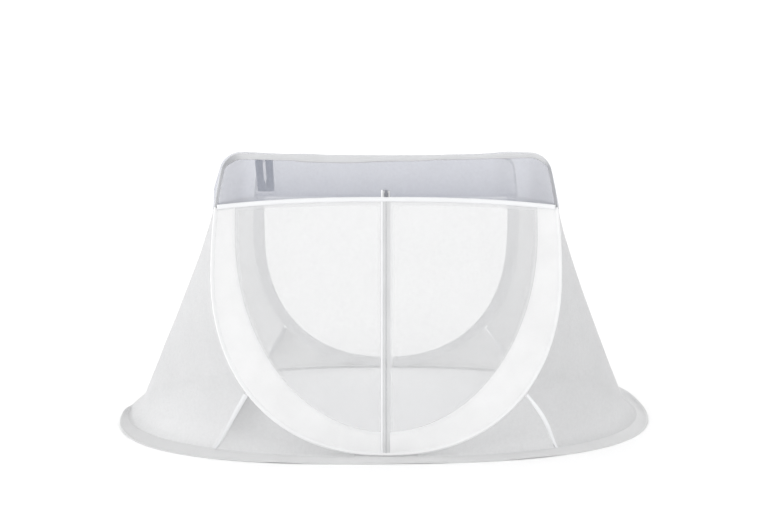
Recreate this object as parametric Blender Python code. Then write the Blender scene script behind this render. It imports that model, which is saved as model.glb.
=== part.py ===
"""Free-standing mosquito net canopy on a front and a back spring-steel hoop.

Metres, +Z up, front towards -Y, centred on the floor. The two hoops stand in planes that
lean towards each other. Flat panels fill the hoop planes, curved net walls run from the
hoops down to an oval on the floor, a roof panel joins the hoops, and a skirt lies flat
all round. Cloth is modelled as a sheet, with a hairline gap where two pieces are sewn.
"""
import math

import bmesh
import bpy
from mathutils import Vector

# Hoops
HOOP_RADIUS = 0.0045          # steel in its narrow sleeve
HOOP_HALF_WIDTH = 0.5775      # widest half-width of the centre line
HOOP_BOTTOM = 0.0068          # height of the centre line at its lowest point
HOOP_WAIST = 0.603            # height of the widest point
HOOP_ROUNDNESS = 2.22         # superellipse exponent of the lower part
HOOP_SHOULDER = 0.927         # height where the top corner begins
HOOP_TAPER = 0.0315           # how far the sides draw in between waist and shoulder
HOOP_SIDE_CURVE = 2.3         # how late they draw in
CORNER_RADIUS = 0.066
TOP_SAG = 0.008               # dip of the top edge between its corners
HOOP_FOOT = 0.530             # distance of the hoop planes from the middle, at the floor
HOOP_LEAN = 0.19              # inward lean, metres for each metre of height
LOWER_STEPS = 22
SIDE_STEPS = 6
CORNER_STEPS = 6
TOP_STEPS = 5
TUBE_SIDES = 8

# Floor outlines
WALL_BACK_TO_FRONT = 0.530    # half-depth of the oval where the walls meet the floor
WALL_ROUNDNESS = 2.2
SKIRT_HALF_WIDTH = 1.000
SKIRT_HALF_DEPTH = 0.593
SKIRT_ROUNDNESS = 2.6
SKIRT_SKEW = 0.022            # the skirt lies a little further back on the right
SKIRT_UNDERLAP = 0.015        # skirt cloth that reaches in under the walls
SKIRT_THICKNESS = 0.002
SKIRT_STEPS = 76

# Side walls: half-width of the middle section at height z is reach - lean z + flare z^2
SIDES = {
    "left": {"sign": -1, "reach": 0.966, "lean": 0.455, "flare": 0.033, "seam_bow": 0.002,
             "roof_swell": 0.030},
    "right": {"sign": 1, "reach": 0.944, "lean": 0.44, "flare": 0.045, "seam_bow": 0.016,
              "roof_swell": 0.0},
}
SEAM_HEIGHT = 0.200           # where the corner seam leaves the hoop
SIDE_JOIN = 0.207             # the wall follows the hoop down to here
SEAM_FOOT = 0.566             # distance of its foot from the middle, across
TAPE_LIFT = 0.003             # the tape starts this far from the hoop
GUSSET_TIP = 0.105            # the gusset ends here, where the hoop nears the floor
SHOULDER_HEIGHT = 0.800       # the net walls end here and the roof cloth begins
ROOF_SAG = 0.010
ROOF_SWELL_RISE = 0.060       # height over which the roof swells out past the walls
WALL_COLUMNS = 14
EDGE_PULL = 8                 # how quickly the wall leaves the line of its edge
SEAM_ROWS = 5
GUSSET_COLUMNS = 12
GUSSET_ROWS = 3
GUSSET_EASE = 5               # how quickly the gusset leaves the bow of its seam

# Front panel
BORDER_HALF_WIDTH = 0.503     # inner edge of the opaque border
BORDER_BOTTOM = 0.077
BORDER_WAIST = 0.720
BORDER_STEPS = 18
BACK_BORDER = 0.040
BACK_BORDER_TOP = 0.800
ARC_CENTRE = 0.830            # height of the bound edge at the middle
ARC_END = 0.804
ARC_POWER = 2.4
ARC_HALF_HEIGHT = 0.0078
ARC_HALF_THICKNESS = 0.0025
ARC_STEPS = 20

# Zip
ZIP_HALF_WIDTH = 0.0120
ZIP_TOP = 0.858
CHAIN_HALF_WIDTH = 0.003
CHAIN_THICKNESS = 0.0016
SLIDER_HALF_WIDTH = 0.0045
SLIDER_LENGTH = 0.014
SLIDER_THICKNESS = 0.0035
FLAP_WIDTH = 0.005

# Strap
STRAP_X = -0.490
STRAP_Y = 0.160
STRAP_TOP_GAP = 0.0004
STRAP_WIDTH = 0.070
STRAP_LENGTH = 0.146
STRAP_SLIT_WIDTH = 0.010
STRAP_SLIT_LENGTH = 0.102
STRAP_HEAD = 0.012
STRAP_THICKNESS = 0.002
STRAP_TAPER = 0.001           # how much narrower the strap gets towards its foot

# Cloth and gaps
NET = 0.0012
BORDER_CLOTH = 0.0016
SHADE_CLOTH = 0.0014
TAPE_CLOTH = 0.0016
GAP = 0.0003
WALL_OFFSET = HOOP_RADIUS + GAP + NET / 2
POINT_SPACE = 0.010           # outline points nearer than this to an end point are left out
TAPE_ON_LEVEL = 0.0058        # half of the seam tape, measured along a level line of the cloth
TAPE_CLEARANCE = 0.0006

LEAN_COS = 1 / math.hypot(1, HOOP_LEAN)
LEAN_SIN = HOOP_LEAN * LEAN_COS


def clear_scene():
    for item in list(bpy.data.objects):
        bpy.data.objects.remove(item, do_unlink=True)


def make_material(name, colour, roughness, metallic=0.0):
    material = bpy.data.materials.new(name)
    material.use_nodes = True
    shader = material.node_tree.nodes["Principled BSDF"]
    shader.inputs["Base Color"].default_value = (*colour, 1.0)
    shader.inputs["Roughness"].default_value = roughness
    shader.inputs["Metallic"].default_value = metallic
    return material


def add_object(name, vertices, faces, material, smooth=True):
    mesh = bpy.data.meshes.new(name)
    mesh.from_pydata([tuple(v) for v in vertices], [], faces)
    work = bmesh.new()
    work.from_mesh(mesh)
    bmesh.ops.recalc_face_normals(work, faces=work.faces)
    work.to_mesh(mesh)
    work.free()
    if smooth:
        mesh.shade_smooth()
        mesh.set_sharp_from_angle(angle=math.radians(40))
    mesh.materials.append(material)
    part = bpy.data.objects.new(name, mesh)
    bpy.context.scene.collection.objects.link(part)
    return part


# ---- outlines in a hoop plane, as (x, height) pairs ----

def superellipse(half_width, half_height, roundness, angle):
    c, s = math.cos(angle), math.sin(angle)
    return (math.copysign(half_width * abs(c) ** (2 / roundness), c),
            math.copysign(half_height * abs(s) ** (2 / roundness), s))


def corner_start():
    """Slope angle of a hoop's side at its shoulder, and the middle of the corner's arc."""
    slope = math.atan(HOOP_TAPER * HOOP_SIDE_CURVE / (HOOP_SHOULDER - HOOP_WAIST))
    return (slope, HOOP_HALF_WIDTH - HOOP_TAPER - CORNER_RADIUS * math.cos(slope),
            HOOP_SHOULDER - CORNER_RADIUS * math.sin(slope))


def hoop_half():
    """Right half of a hoop's centre line, from bottom middle to top middle."""
    points = []
    for i in range(LOWER_STEPS):
        x, drop = superellipse(HOOP_HALF_WIDTH, HOOP_WAIST - HOOP_BOTTOM, HOOP_ROUNDNESS,
                               -math.pi / 2 * (1 - i / LOWER_STEPS))
        points.append((x if i else 0.0, HOOP_WAIST + drop))
    for i in range(SIDE_STEPS):
        t = i / SIDE_STEPS
        x = HOOP_HALF_WIDTH - HOOP_TAPER * t ** HOOP_SIDE_CURVE
        points.append((x, HOOP_WAIST + (HOOP_SHOULDER - HOOP_WAIST) * t))
    slope, corner_x, corner_z = corner_start()
    for i in range(CORNER_STEPS + 1):
        a = slope + (math.pi / 2 - slope) * i / CORNER_STEPS
        points.append((corner_x + CORNER_RADIUS * math.cos(a),
                       corner_z + CORNER_RADIUS * math.sin(a)))
    top = corner_z + CORNER_RADIUS
    for i in range(1, TOP_STEPS + 1):
        t = 1 - i / TOP_STEPS
        points.append((corner_x * t, top - TOP_SAG * (1 - t * t)))
    return points


def mirrored(points):
    return [(-x, z) for x, z in reversed(points) if x > 1e-9]


def closed_hoop():
    half = hoop_half()
    return half + [(-x, z) for x, z in reversed(half[1:-1])]


def offset_closed(points, distance):
    """Parallel curve of a closed counter-clockwise outline, outward by distance."""
    count = len(points)
    moved = []
    for i, (x, z) in enumerate(points):
        x0, z0 = points[i - 1]
        x1, z1 = points[(i + 1) % count]
        along_x, along_s = x1 - x0, (z1 - z0) / LEAN_COS
        length = math.hypot(along_x, along_s)
        moved.append((x + distance * along_s / length,
                      z - distance * along_x / length * LEAN_COS))
    return moved


def half_of(closed):
    """Right half of a closed hoop outline, bottom middle to top middle."""
    return closed[:len(closed) // 2 + 1]


def at_height(half, height):
    """Point where the outer side of a half outline passes a height below the shoulder."""
    for (x0, z0), (x1, z1) in zip(half, half[1:]):
        if z0 <= height <= z1:
            t = (height - z0) / (z1 - z0)
            return (x0 + (x1 - x0) * t, height)
    raise ValueError("height is outside the outline")


def side_stretch(half, low, high):
    """Stretch of a half outline from one height to another below the top, ends included."""
    inner = [p for p in half if low + POINT_SPACE / 3 < p[1] < high - POINT_SPACE]
    return [at_height(half, low)] + inner + [at_height(half, high)]


def arc_height(x, reach):
    return ARC_CENTRE - (ARC_CENTRE - ARC_END) * abs(x / reach) ** ARC_POWER


def on_plane(x, height, out=0.0, face=-1):
    """World place of a point in a hoop plane; face is -1 for the front, 1 for the back."""
    depth = HOOP_FOOT - HOOP_LEAN * height
    return Vector((x, face * (depth + out * LEAN_COS), height + out * LEAN_SIN))


# ---- makers ----

def flat_piece(name, outline, thickness, material, out=0.0, face=-1):
    """Flat cloth in a hoop plane, its outline extruded by its thickness."""
    near = [on_plane(x, z, out - thickness / 2, face) for x, z in outline]
    far = [on_plane(x, z, out + thickness / 2, face) for x, z in outline]
    count = len(outline)
    faces = [list(range(count)), list(range(2 * count - 1, count - 1, -1))]
    faces += [(i, i + count, (i + 1) % count + count, (i + 1) % count) for i in range(count)]
    return add_object(name, near + far, faces, material)


def tube(name, centres, across, radii, material, closed):
    """Oval tube along centres; across gives the in-plane and the outward direction."""
    vertices = []
    for centre, (side, out) in zip(centres, across):
        for k in range(TUBE_SIDES):
            a = 2 * math.pi * (k + 0.5) / TUBE_SIDES
            vertices.append(centre + side * radii[0] * math.cos(a) + out * radii[1] * math.sin(a))
    rings = len(centres)
    faces = []
    for i in range(rings if closed else rings - 1):
        a, b = i * TUBE_SIDES, (i + 1) % rings * TUBE_SIDES
        for k in range(TUBE_SIDES):
            n = (k + 1) % TUBE_SIDES
            faces.append((a + k, a + n, b + n, b + k))
    if not closed:
        faces.append(list(range(TUBE_SIDES)))
        faces.append(list(range((rings - 1) * TUBE_SIDES, rings * TUBE_SIDES)))
    return add_object(name, vertices, faces, material)


def sheet(name, grid, thickness, material, on_skirt=False):
    """Cloth shell about a grid of points; its last row stands on the skirt if asked."""
    rows, columns = len(grid), len(grid[0])
    sides = ([], [])
    for i in range(rows):
        for j in range(columns):
            down = grid[min(i + 1, rows - 1)][j] - grid[max(i - 1, 0)][j]
            along = grid[i][min(j + 1, columns - 1)] - grid[i][max(j - 1, 0)]
            normal = down.cross(along).normalized()
            for side, sign in zip(sides, (-1, 1)):
                point = grid[i][j] + normal * (sign * thickness / 2)
                if on_skirt and i == rows - 1:
                    point.z = SKIRT_THICKNESS + GAP
                side.append(point)
    count = rows * columns
    faces = []
    for i in range(rows - 1):
        for j in range(columns - 1):
            a, b = i * columns + j, (i + 1) * columns + j
            faces.append((a, b, b + 1, a + 1))
            faces.append((count + a, count + a + 1, count + b + 1, count + b))
    rim = [j for j in range(columns)]
    rim += [i * columns + columns - 1 for i in range(1, rows)]
    rim += [(rows - 1) * columns + j for j in range(columns - 2, -1, -1)]
    rim += [i * columns for i in range(rows - 2, 0, -1)]
    faces += [(a, b, count + b, count + a) for a, b in zip(rim, rim[1:] + rim[:1])]
    return add_object(name, sides[0] + sides[1], faces, material)


# ---- frame ----

def make_hoop(name, face, material):
    outline = closed_hoop()
    outer = offset_closed(outline, 1.0)
    out = Vector((0, face * LEAN_COS, LEAN_SIN))
    centres = [on_plane(x, z, 0, face) for x, z in outline]
    across = []
    for centre, (x, z) in zip(centres, outer):
        across.append(((on_plane(x, z, 0, face) - centre).normalized(), out))
    tube(name, centres, across, (HOOP_RADIUS, HOOP_RADIUS), material, closed=True)


# ---- front panel ----

def inner_half():
    """Right half of the hoop's inner side, where cloth in the plane ends."""
    return half_of(offset_closed(closed_hoop(), -(HOOP_RADIUS + GAP)))


def border_inner(shrink):
    """Inner edge of the opaque border from the zip up to its waist, right side."""
    half_width = BORDER_HALF_WIDTH - shrink
    rise = BORDER_WAIST - BORDER_BOTTOM - shrink
    start = math.asin((ZIP_HALF_WIDTH + GAP) / half_width)
    points = []
    for i in range(BORDER_STEPS + 1):
        a = start + (math.pi / 2 - start) * i / BORDER_STEPS
        points.append((half_width * math.sin(a), BORDER_WAIST - rise * math.cos(a)))
    return points


def make_front_border(name, sign, material):
    zip_edge = ZIP_HALF_WIDTH + GAP
    hoop_side = inner_half()
    reach = at_height(hoop_side, ARC_END)[0]
    top = ARC_END - GAP / 2
    outer = [(zip_edge, hoop_side[0][1])]
    outer += [p for p in hoop_side if p[0] > zip_edge + POINT_SPACE and p[1] < top - POINT_SPACE]
    outer.append(at_height(hoop_side, top))
    inner = border_inner(0.0)
    inner.append((BORDER_HALF_WIDTH, arc_height(BORDER_HALF_WIDTH, reach) - GAP / 2))
    outline = outer + inner[::-1]
    flat_piece(name, [(sign * x, z) for x, z in outline], BORDER_CLOTH, material)


def make_front_net(name, sign, material):
    zip_edge = ZIP_HALF_WIDTH + GAP
    reach = at_height(inner_half(), ARC_END)[0]
    outline = border_inner(GAP)
    edge = outline[-1][0]
    steps = ARC_STEPS // 2
    for i in range(steps + 1):
        x = edge + (zip_edge - edge) * i / steps
        outline.append((x, arc_height(x, reach) - GAP / 2))
    flat_piece(name, [(sign * x, z) for x, z in outline], NET, material)


def make_front_valance(name, material):
    """Sheer sun shade between the bound edge and the top of the hoop, notched at the zip."""
    hoop_side = inner_half()
    reach = at_height(hoop_side, ARC_END)[0]
    zip_edge = ZIP_HALF_WIDTH + GAP
    notch_top = ZIP_TOP + GAP
    right = [(zip_edge, notch_top), (zip_edge, arc_height(zip_edge, reach) + GAP / 2)]
    steps = ARC_STEPS // 2
    for i in range(1, steps):
        x = zip_edge + (reach - zip_edge) * i / steps
        right.append((x, arc_height(x, reach) + GAP / 2))
    low = ARC_END + GAP / 2
    right.append(at_height(hoop_side, low))
    right += [p for p in hoop_side if p[1] > low + POINT_SPACE]
    flat_piece(name, right + mirrored(right), SHADE_CLOTH, material)


def make_bound_edge(name, material):
    """White binding that bulges over the seam between valance and door."""
    hoop_side = inner_half()
    reach = at_height(hoop_side, ARC_END)[0]
    out = SHADE_CLOTH / 2 + GAP + ARC_HALF_THICKNESS
    end = reach - GAP
    places = [end * (2 * i / ARC_STEPS - 1) for i in range(ARC_STEPS + 1)]
    centres = [on_plane(x, arc_height(x, reach), out) for x in places]
    up = Vector((0, LEAN_SIN, LEAN_COS))
    normal = Vector((0, -LEAN_COS, LEAN_SIN))
    across = []
    for i in range(len(places)):
        along = centres[min(i + 1, ARC_STEPS)] - centres[max(i - 1, 0)]
        if i in (0, ARC_STEPS):
            across.append((up, normal))
        else:
            across.append((normal.cross(along).normalized(), normal))
    tube(name, centres, across, (ARC_HALF_HEIGHT, ARC_HALF_THICKNESS), material, closed=False)


def strip(x0, x1, z0, z1):
    return [(x0, z0), (x1, z0), (x1, z1), (x0, z1)]


def make_zip(tape_material, chain_material, slider_material, flap_material):
    low = inner_half()[0][1]
    arc_low = ARC_CENTRE - ARC_HALF_HEIGHT - GAP
    arc_high = ARC_CENTRE + ARC_HALF_HEIGHT + GAP
    tape = strip(-ZIP_HALF_WIDTH, ZIP_HALF_WIDTH, low, ZIP_TOP)
    flat_piece("zip_tape", tape, TAPE_CLOTH, tape_material)
    face_out = TAPE_CLOTH / 2 + GAP
    chain = strip(-CHAIN_HALF_WIDTH, CHAIN_HALF_WIDTH, low, arc_low)
    flat_piece("zip_chain", chain, CHAIN_THICKNESS, chain_material, face_out + CHAIN_THICKNESS / 2)
    slider = strip(-SLIDER_HALF_WIDTH, SLIDER_HALF_WIDTH, arc_high, arc_high + SLIDER_LENGTH)
    flat_piece("zip_slider", slider, SLIDER_THICKNESS, slider_material,
               face_out + SLIDER_THICKNESS / 2)
    flap = strip(-ZIP_HALF_WIDTH - FLAP_WIDTH, -ZIP_HALF_WIDTH, low, arc_low)
    flat_piece("zip_flap", flap, NET, flap_material, BORDER_CLOTH / 2 + GAP + NET / 2)


# ---- back panel ----

def make_back_panel(border_material, net_material, shade_material):
    outline = closed_hoop()
    hoop_side = inner_half()
    inset = HOOP_RADIUS + GAP + BACK_BORDER
    inner = half_of(offset_closed(outline, -inset))
    net_side = half_of(offset_closed(outline, -inset - GAP))
    top = BACK_BORDER_TOP
    outer_edge = [p for p in hoop_side if p[1] < top - POINT_SPACE] + [at_height(hoop_side, top)]
    inner_edge = [p for p in inner if p[1] < top - POINT_SPACE] + [at_height(inner, top)]
    border = mirrored(outer_edge) + outer_edge + inner_edge[::-1]
    border += [(-x, z) for x, z in inner_edge[1:]]
    flat_piece("back_border", border, BORDER_CLOTH, border_material, face=1)
    net_edge = [p for p in net_side if p[1] < top - POINT_SPACE] + [at_height(net_side, top)]
    flat_piece("back_net", mirrored(net_edge) + net_edge, NET, net_material, face=1)
    low = top + GAP
    shade = [at_height(hoop_side, low)] + [p for p in hoop_side if p[1] > low + POINT_SPACE]
    flat_piece("back_valance", shade + mirrored(shade), SHADE_CLOTH, shade_material, face=1)


# ---- curved walls and roof ----

def oval_half_width(y, reach):
    """Half-width of the floor oval of the walls at a distance y from the middle."""
    ratio = min(abs(y) / WALL_BACK_TO_FRONT, 1.0)
    return reach * (1 - ratio ** WALL_ROUNDNESS) ** (1 / WALL_ROUNDNESS)


def oval_depth(x, reach):
    ratio = min(abs(x) / reach, 1.0)
    return WALL_BACK_TO_FRONT * (1 - ratio ** WALL_ROUNDNESS) ** (1 / WALL_ROUNDNESS)


def middle_half_width(side, height):
    return side["reach"] - side["lean"] * height + side["flare"] * height ** 2


def wall_edge():
    """Right half of the line where walls and roof meet a hoop from outside."""
    return half_of(offset_closed(closed_hoop(), WALL_OFFSET))


def fullness(side, u, height):
    """Share of the bulge, 0 at the hoops and 1 in the middle, at u from -1 to 1."""
    foot_depth = oval_depth(SEAM_FOOT, side["reach"])
    foot_width = oval_half_width(foot_depth, side["reach"])
    oval = oval_half_width(u * foot_depth, side["reach"]) - foot_width
    oval /= side["reach"] - foot_width
    blend = min(height / SHOULDER_HEIGHT, 1.0)
    return (1 - blend) * oval + blend * (1 - u * u)


def seam_foot(side):
    return Vector((SEAM_FOOT, oval_depth(SEAM_FOOT, side["reach"]), SKIRT_THICKNESS + GAP))


def seam_point(side, drop):
    """Corner seam, front right quarter: drop 0 on the hoop, 1 at its foot on the floor."""
    x, z = at_height(wall_edge(), SEAM_HEIGHT)
    top = Vector((x, HOOP_FOOT - HOOP_LEAN * z, z))
    point = top.lerp(seam_foot(side), drop)
    point.x += side["seam_bow"] * math.sin(math.pi * drop)
    return point


def wall_point(side, edge, u):
    """Point of a side wall on the level of its edge point, at u from -1 front to 1 back.

    The wall spans between straight lines from shoulder to seam foot, and is drawn in to
    the hoop and the corner seam only near its edges.
    """
    x, z = at_height(wall_edge(), SHOULDER_HEIGHT)
    shoulder = Vector((x, HOOP_FOOT - HOOP_LEAN * z, z))
    foot = seam_foot(side)
    line = foot.lerp(shoulder, (edge.z - foot.z) / (shoulder.z - foot.z))
    share = fullness(side, u, edge.z)
    pull = abs(u) ** EDGE_PULL
    x = line.x + (middle_half_width(side, edge.z) - line.x) * share + (edge.x - line.x) * pull
    y = line.y * u + math.copysign((edge.y - line.y) * pull, u)
    return Vector((side["sign"] * x, y, edge.z))


def column_place(j):
    """Place of a wall or roof column from -1 to 1, closer together near the hoops."""
    return math.sin(math.pi / 2 * (2 * j / WALL_COLUMNS - 1))


def edge_share(side, edge, distance):
    """Value of u that lies a short distance along the wall from its edge."""
    step = 0.01
    speed = (wall_point(side, edge, 1.0) - wall_point(side, edge, 1.0 - step)).length / step
    return 1.0 - distance / speed


def make_side_wall(name, side, material):
    rows = []
    for x, z in reversed(side_stretch(wall_edge(), SIDE_JOIN, SHOULDER_HEIGHT - GAP)):
        rows.append((Vector((x, HOOP_FOOT - HOOP_LEAN * z, z)), 0.0))
    for i in range(SEAM_ROWS + 1):
        rows.append((seam_point(side, i / SEAM_ROWS), TAPE_ON_LEVEL + TAPE_CLEARANCE))
    grid = []
    for edge, distance in rows:
        reach = edge_share(side, edge, distance)
        grid.append([wall_point(side, edge, reach * column_place(j))
                     for j in range(WALL_COLUMNS + 1)])
    sheet(name, grid, NET, material, on_skirt=True)


def gusset_point(side, along, down, face):
    """Point of a low corner piece: along 0 at the seam, 1 at its tip; down 0 to 1."""
    line = wall_edge()
    start = at_height(line, SEAM_HEIGHT)[0]
    x = start + (GUSSET_TIP - start) * along
    z = next(z0 + (z1 - z0) * (x - x0) / (x1 - x0)
             for (x0, z0), (x1, z1) in zip(line, line[1:]) if x0 <= x <= x1)
    top = Vector((x, HOOP_FOOT - HOOP_LEAN * z, z))
    foot_x = SEAM_FOOT + (GUSSET_TIP - SEAM_FOOT) * along
    foot = Vector((foot_x, oval_depth(foot_x, side["reach"]), SKIRT_THICKNESS + GAP))
    point = top.lerp(foot, down)
    point.x += side["seam_bow"] * math.sin(math.pi * down) * (1 - along) ** GUSSET_EASE
    return Vector((side["sign"] * point.x, face * point.y, point.z))


def make_gusset(name, side, face, material):
    first = (TAPE_ON_LEVEL + TAPE_CLEARANCE) / (SEAM_FOOT - GUSSET_TIP)
    grid = []
    for i in range(GUSSET_ROWS + 1):
        row = []
        for j in range(GUSSET_COLUMNS + 1):
            along = first + (1 - first) * j / GUSSET_COLUMNS
            row.append(gusset_point(side, along, i / GUSSET_ROWS, face))
        grid.append(row)
    sheet(name, grid, NET, material, on_skirt=True)


def make_seam_tape(name, side, face, material):
    """Narrow tape between side wall and gusset, from just under the hoop to the floor."""
    grid = []
    length = (seam_point(side, 1) - seam_point(side, 0)).length
    start = TAPE_LIFT / length
    for i in range(SEAM_ROWS + 1):
        drop = start + (1 - start) * i / SEAM_ROWS
        edge = seam_point(side, drop)
        wall = wall_point(side, edge, face * edge_share(side, edge, TAPE_ON_LEVEL))
        middle = Vector((side["sign"] * edge.x, face * edge.y, edge.z))
        share = TAPE_ON_LEVEL / (SEAM_FOOT - GUSSET_TIP)
        grid.append([wall, middle, gusset_point(side, share, drop, face)])
    sheet(name, grid, NET, material, on_skirt=True)


def roof_middle(x, z, side):
    """Middle section of the roof for a point of the hoop line, right half."""
    level = min(z, HOOP_SHOULDER)
    line_x = at_height(wall_edge(), level)[0]
    push = middle_half_width(side, level) - line_x
    swollen = min(max((level - SHOULDER_HEIGHT) / ROOF_SWELL_RISE, 0.0), 1.0)
    push += side["roof_swell"] * swollen
    corner_x = corner_start()[1]
    sag = ROOF_SAG * max(0.0, 1 - (x / corner_x) ** 2)
    return (x + push * min(x / corner_x, 1.0), z - sag)


def roof_point(side, x, z, u):
    """Point of the roof on the line across it from a hoop point, at u from -1 to 1."""
    mid_x, mid_z = roof_middle(x, z, side)
    share = 1 - u * u
    return Vector((side["sign"] * (x + (mid_x - x) * share),
                   u * (HOOP_FOOT - HOOP_LEAN * z), z + (mid_z - z) * share))


def roof_line():
    """Hoop points that carry the roof, from the right shoulder up to the top middle."""
    line = wall_edge()
    start = at_height(line, SHOULDER_HEIGHT + GAP)
    return [start] + [p for p in line if p[1] > start[1] + POINT_SPACE]


def make_roof(name, material):
    half = roof_line()
    grid = []
    for side, points in ((SIDES["right"], half), (SIDES["left"], half[-2::-1])):
        for x, z in points:
            grid.append([roof_point(side, x, z, column_place(j))
                         for j in range(WALL_COLUMNS + 1)])
    sheet(name, grid, NET, material)


def roof_height(side, x, y):
    """Height of the roof's flat top over a place on the floor."""
    level = corner_start()[2] + CORNER_RADIUS
    u = y / (HOOP_FOOT - HOOP_LEAN * level)
    across = [roof_point(side, hx, hz, u) for hx, hz in roof_line() if hz > HOOP_SHOULDER]
    for a, b in zip(across, across[1:]):
        if min(a.x, b.x) <= x <= max(a.x, b.x):
            return a.z + (b.z - a.z) * (x - a.x) / (b.x - a.x)
    raise ValueError("the place is not under the roof")


# ---- skirt and strap ----

def make_skirt(name, material):
    outer, inner = [], []
    for i in range(SKIRT_STEPS):
        a = 2 * math.pi * i / SKIRT_STEPS
        x, y = superellipse(SKIRT_HALF_WIDTH, SKIRT_HALF_DEPTH, SKIRT_ROUNDNESS, a)
        outer.append((x, y + SKIRT_SKEW * x))
        side = SIDES["right"] if math.cos(a) > 0 else SIDES["left"]
        x, y = superellipse(side["reach"] - SKIRT_UNDERLAP, WALL_BACK_TO_FRONT - SKIRT_UNDERLAP,
                            WALL_ROUNDNESS, a)
        inner.append((x, y))
    vertices = [Vector((x, y, z)) for z in (0.0, SKIRT_THICKNESS) for x, y in outer + inner]
    count = SKIRT_STEPS
    faces = []
    for i in range(count):
        n = (i + 1) % count
        for base in (0, 2 * count):
            faces.append((base + i, base + n, base + count + n, base + count + i))
        for base in (0, count):
            faces.append((base + i, base + n, base + 2 * count + n, base + 2 * count + i))
    add_object(name, vertices, faces, material, smooth=False)


def make_strap(name, material):
    """Two strands of webbing joined at head and foot, hanging flat under the roof."""
    half = STRAP_WIDTH / 2
    slit = STRAP_SLIT_WIDTH / 2
    places = [roof_height(SIDES["left"], STRAP_X + x, STRAP_Y) for x in (-half, -slit, slit, half)]
    top = min(places) - NET / 2 - STRAP_TOP_GAP
    slit_top = top - STRAP_HEAD
    slit_low = slit_top - STRAP_SLIT_LENGTH
    low = top - STRAP_LENGTH
    rows = [(top, half), (slit_top, half), (slit_low, half - STRAP_TAPER),
            (low, half - 2 * STRAP_TAPER)]
    vertices, faces = [], []
    for y in (STRAP_Y - STRAP_THICKNESS / 2, STRAP_Y + STRAP_THICKNESS / 2):
        for z, reach in rows:
            for x in (-reach, -slit, slit, reach):
                vertices.append(Vector((STRAP_X + x, y, z)))
    for base in (0, 16):
        for r in range(3):
            for c in range(3):
                if (r, c) != (1, 1):
                    a = base + r * 4 + c
                    faces.append((a, a + 1, a + 5, a + 4))
    rim = [0, 1, 2, 3, 7, 11, 15, 14, 13, 12, 8, 4]
    hole = [5, 6, 10, 9]
    for loop in (rim, hole):
        faces += [(a, b, b + 16, a + 16) for a, b in zip(loop, loop[1:] + loop[:1])]
    add_object(name, vertices, faces, material, smooth=False)


def main():
    clear_scene()
    steel = make_material("hoop sleeve", (0.86, 0.87, 0.89), 0.6)
    white = make_material("white border", (0.93, 0.93, 0.93), 0.8)
    door_net = make_material("door net", (0.92, 0.92, 0.92), 0.9)
    side_net = make_material("side net", (0.82, 0.83, 0.84), 0.9)
    shade = make_material("grey shade", (0.55, 0.57, 0.64), 0.85)
    zip_grey = make_material("zip tape", (0.55, 0.56, 0.58), 0.8)
    zip_dark = make_material("zip slider", (0.25, 0.26, 0.29), 0.5)
    webbing = make_material("webbing", (0.20, 0.22, 0.26), 0.85)

    make_hoop("front_hoop", -1, steel)
    make_hoop("back_hoop", 1, steel)
    for name, side in SIDES.items():
        sign = side["sign"]
        make_front_border("front_border_" + name, sign, white)
        make_front_net("front_net_" + name, sign, door_net)
        make_side_wall("side_net_" + name, side, side_net)
        for where, face in (("front", -1), ("back", 1)):
            make_gusset("gusset_%s_%s" % (where, name), side, face, side_net)
            make_seam_tape("seam_tape_%s_%s" % (where, name), side, face, white)
    make_front_valance("front_valance", shade)
    make_bound_edge("bound_edge", white)
    make_zip(zip_grey, zip_grey, zip_dark, white)
    make_back_panel(white, door_net, shade)
    make_roof("roof", shade)
    make_skirt("floor_skirt", side_net)
    make_strap("strap_loop", webbing)


main()
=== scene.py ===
"""Pop-up mosquito net canopy on two hoops, dressed round its packed frame.

Metres, +Z up, front towards -Y, centred on the floor. Each cloth panel is a fine grid that
follows the same hoop lines and wall curves as the frame, with its folds, hems and stitches.
"""

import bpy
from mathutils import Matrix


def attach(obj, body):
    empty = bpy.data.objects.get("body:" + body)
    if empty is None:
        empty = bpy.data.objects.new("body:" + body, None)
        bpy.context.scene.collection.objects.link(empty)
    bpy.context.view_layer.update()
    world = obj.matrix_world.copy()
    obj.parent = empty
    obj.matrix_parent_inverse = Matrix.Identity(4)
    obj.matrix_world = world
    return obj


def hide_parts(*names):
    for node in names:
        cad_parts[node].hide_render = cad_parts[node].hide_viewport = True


bl_info = {
    "name": "Net Canopy",
    "version": (1, 0, 0),
    "blender": (4, 5, 0),
    "location": "View3D > Sidebar > Net Canopy",
    "description": "Builds a pop-up mosquito net canopy piece by piece",
    "category": "Add Mesh",
}

import math

import bmesh
import bpy
import numpy as np
from bpy.props import FloatProperty, FloatVectorProperty, PointerProperty
from mathutils import Vector

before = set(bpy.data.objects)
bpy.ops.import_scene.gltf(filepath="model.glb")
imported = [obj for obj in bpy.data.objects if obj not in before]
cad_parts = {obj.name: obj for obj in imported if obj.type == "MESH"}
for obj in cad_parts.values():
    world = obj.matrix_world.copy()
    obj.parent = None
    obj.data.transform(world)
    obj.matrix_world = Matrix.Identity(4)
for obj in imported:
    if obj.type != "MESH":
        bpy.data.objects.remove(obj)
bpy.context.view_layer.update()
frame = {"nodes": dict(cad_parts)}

BODY = "root"
FRONT, BACK = -1, 1
CLOTH_MAP = "Cloth"           # UV map in metres, for weaves
BAKE_MAP = "OFBake"           # UV map from 0 to 1
HAIR = 0.0003                 # hairline gap between pieces that are sewn together
SENSOR = 36.0                 # width of the camera's sensor in millimetres
JOIN_WITHIN = 2e-6            # points of one grid nearer than this are the same point
STITCH, STITCH_GAP = 0.0030, 0.0014
THREAD_RADIUS, THREAD_SIDES = 0.00035, 6
SHARP_FROM = math.radians(50)
LEAST_AREA = 0.301            # a cut piece fills at least this share of its flat size
LEAST_SIDE = 0.01             # and no side of it is stated narrower than this


# ---- sizes and colours that a user would change ----

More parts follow.
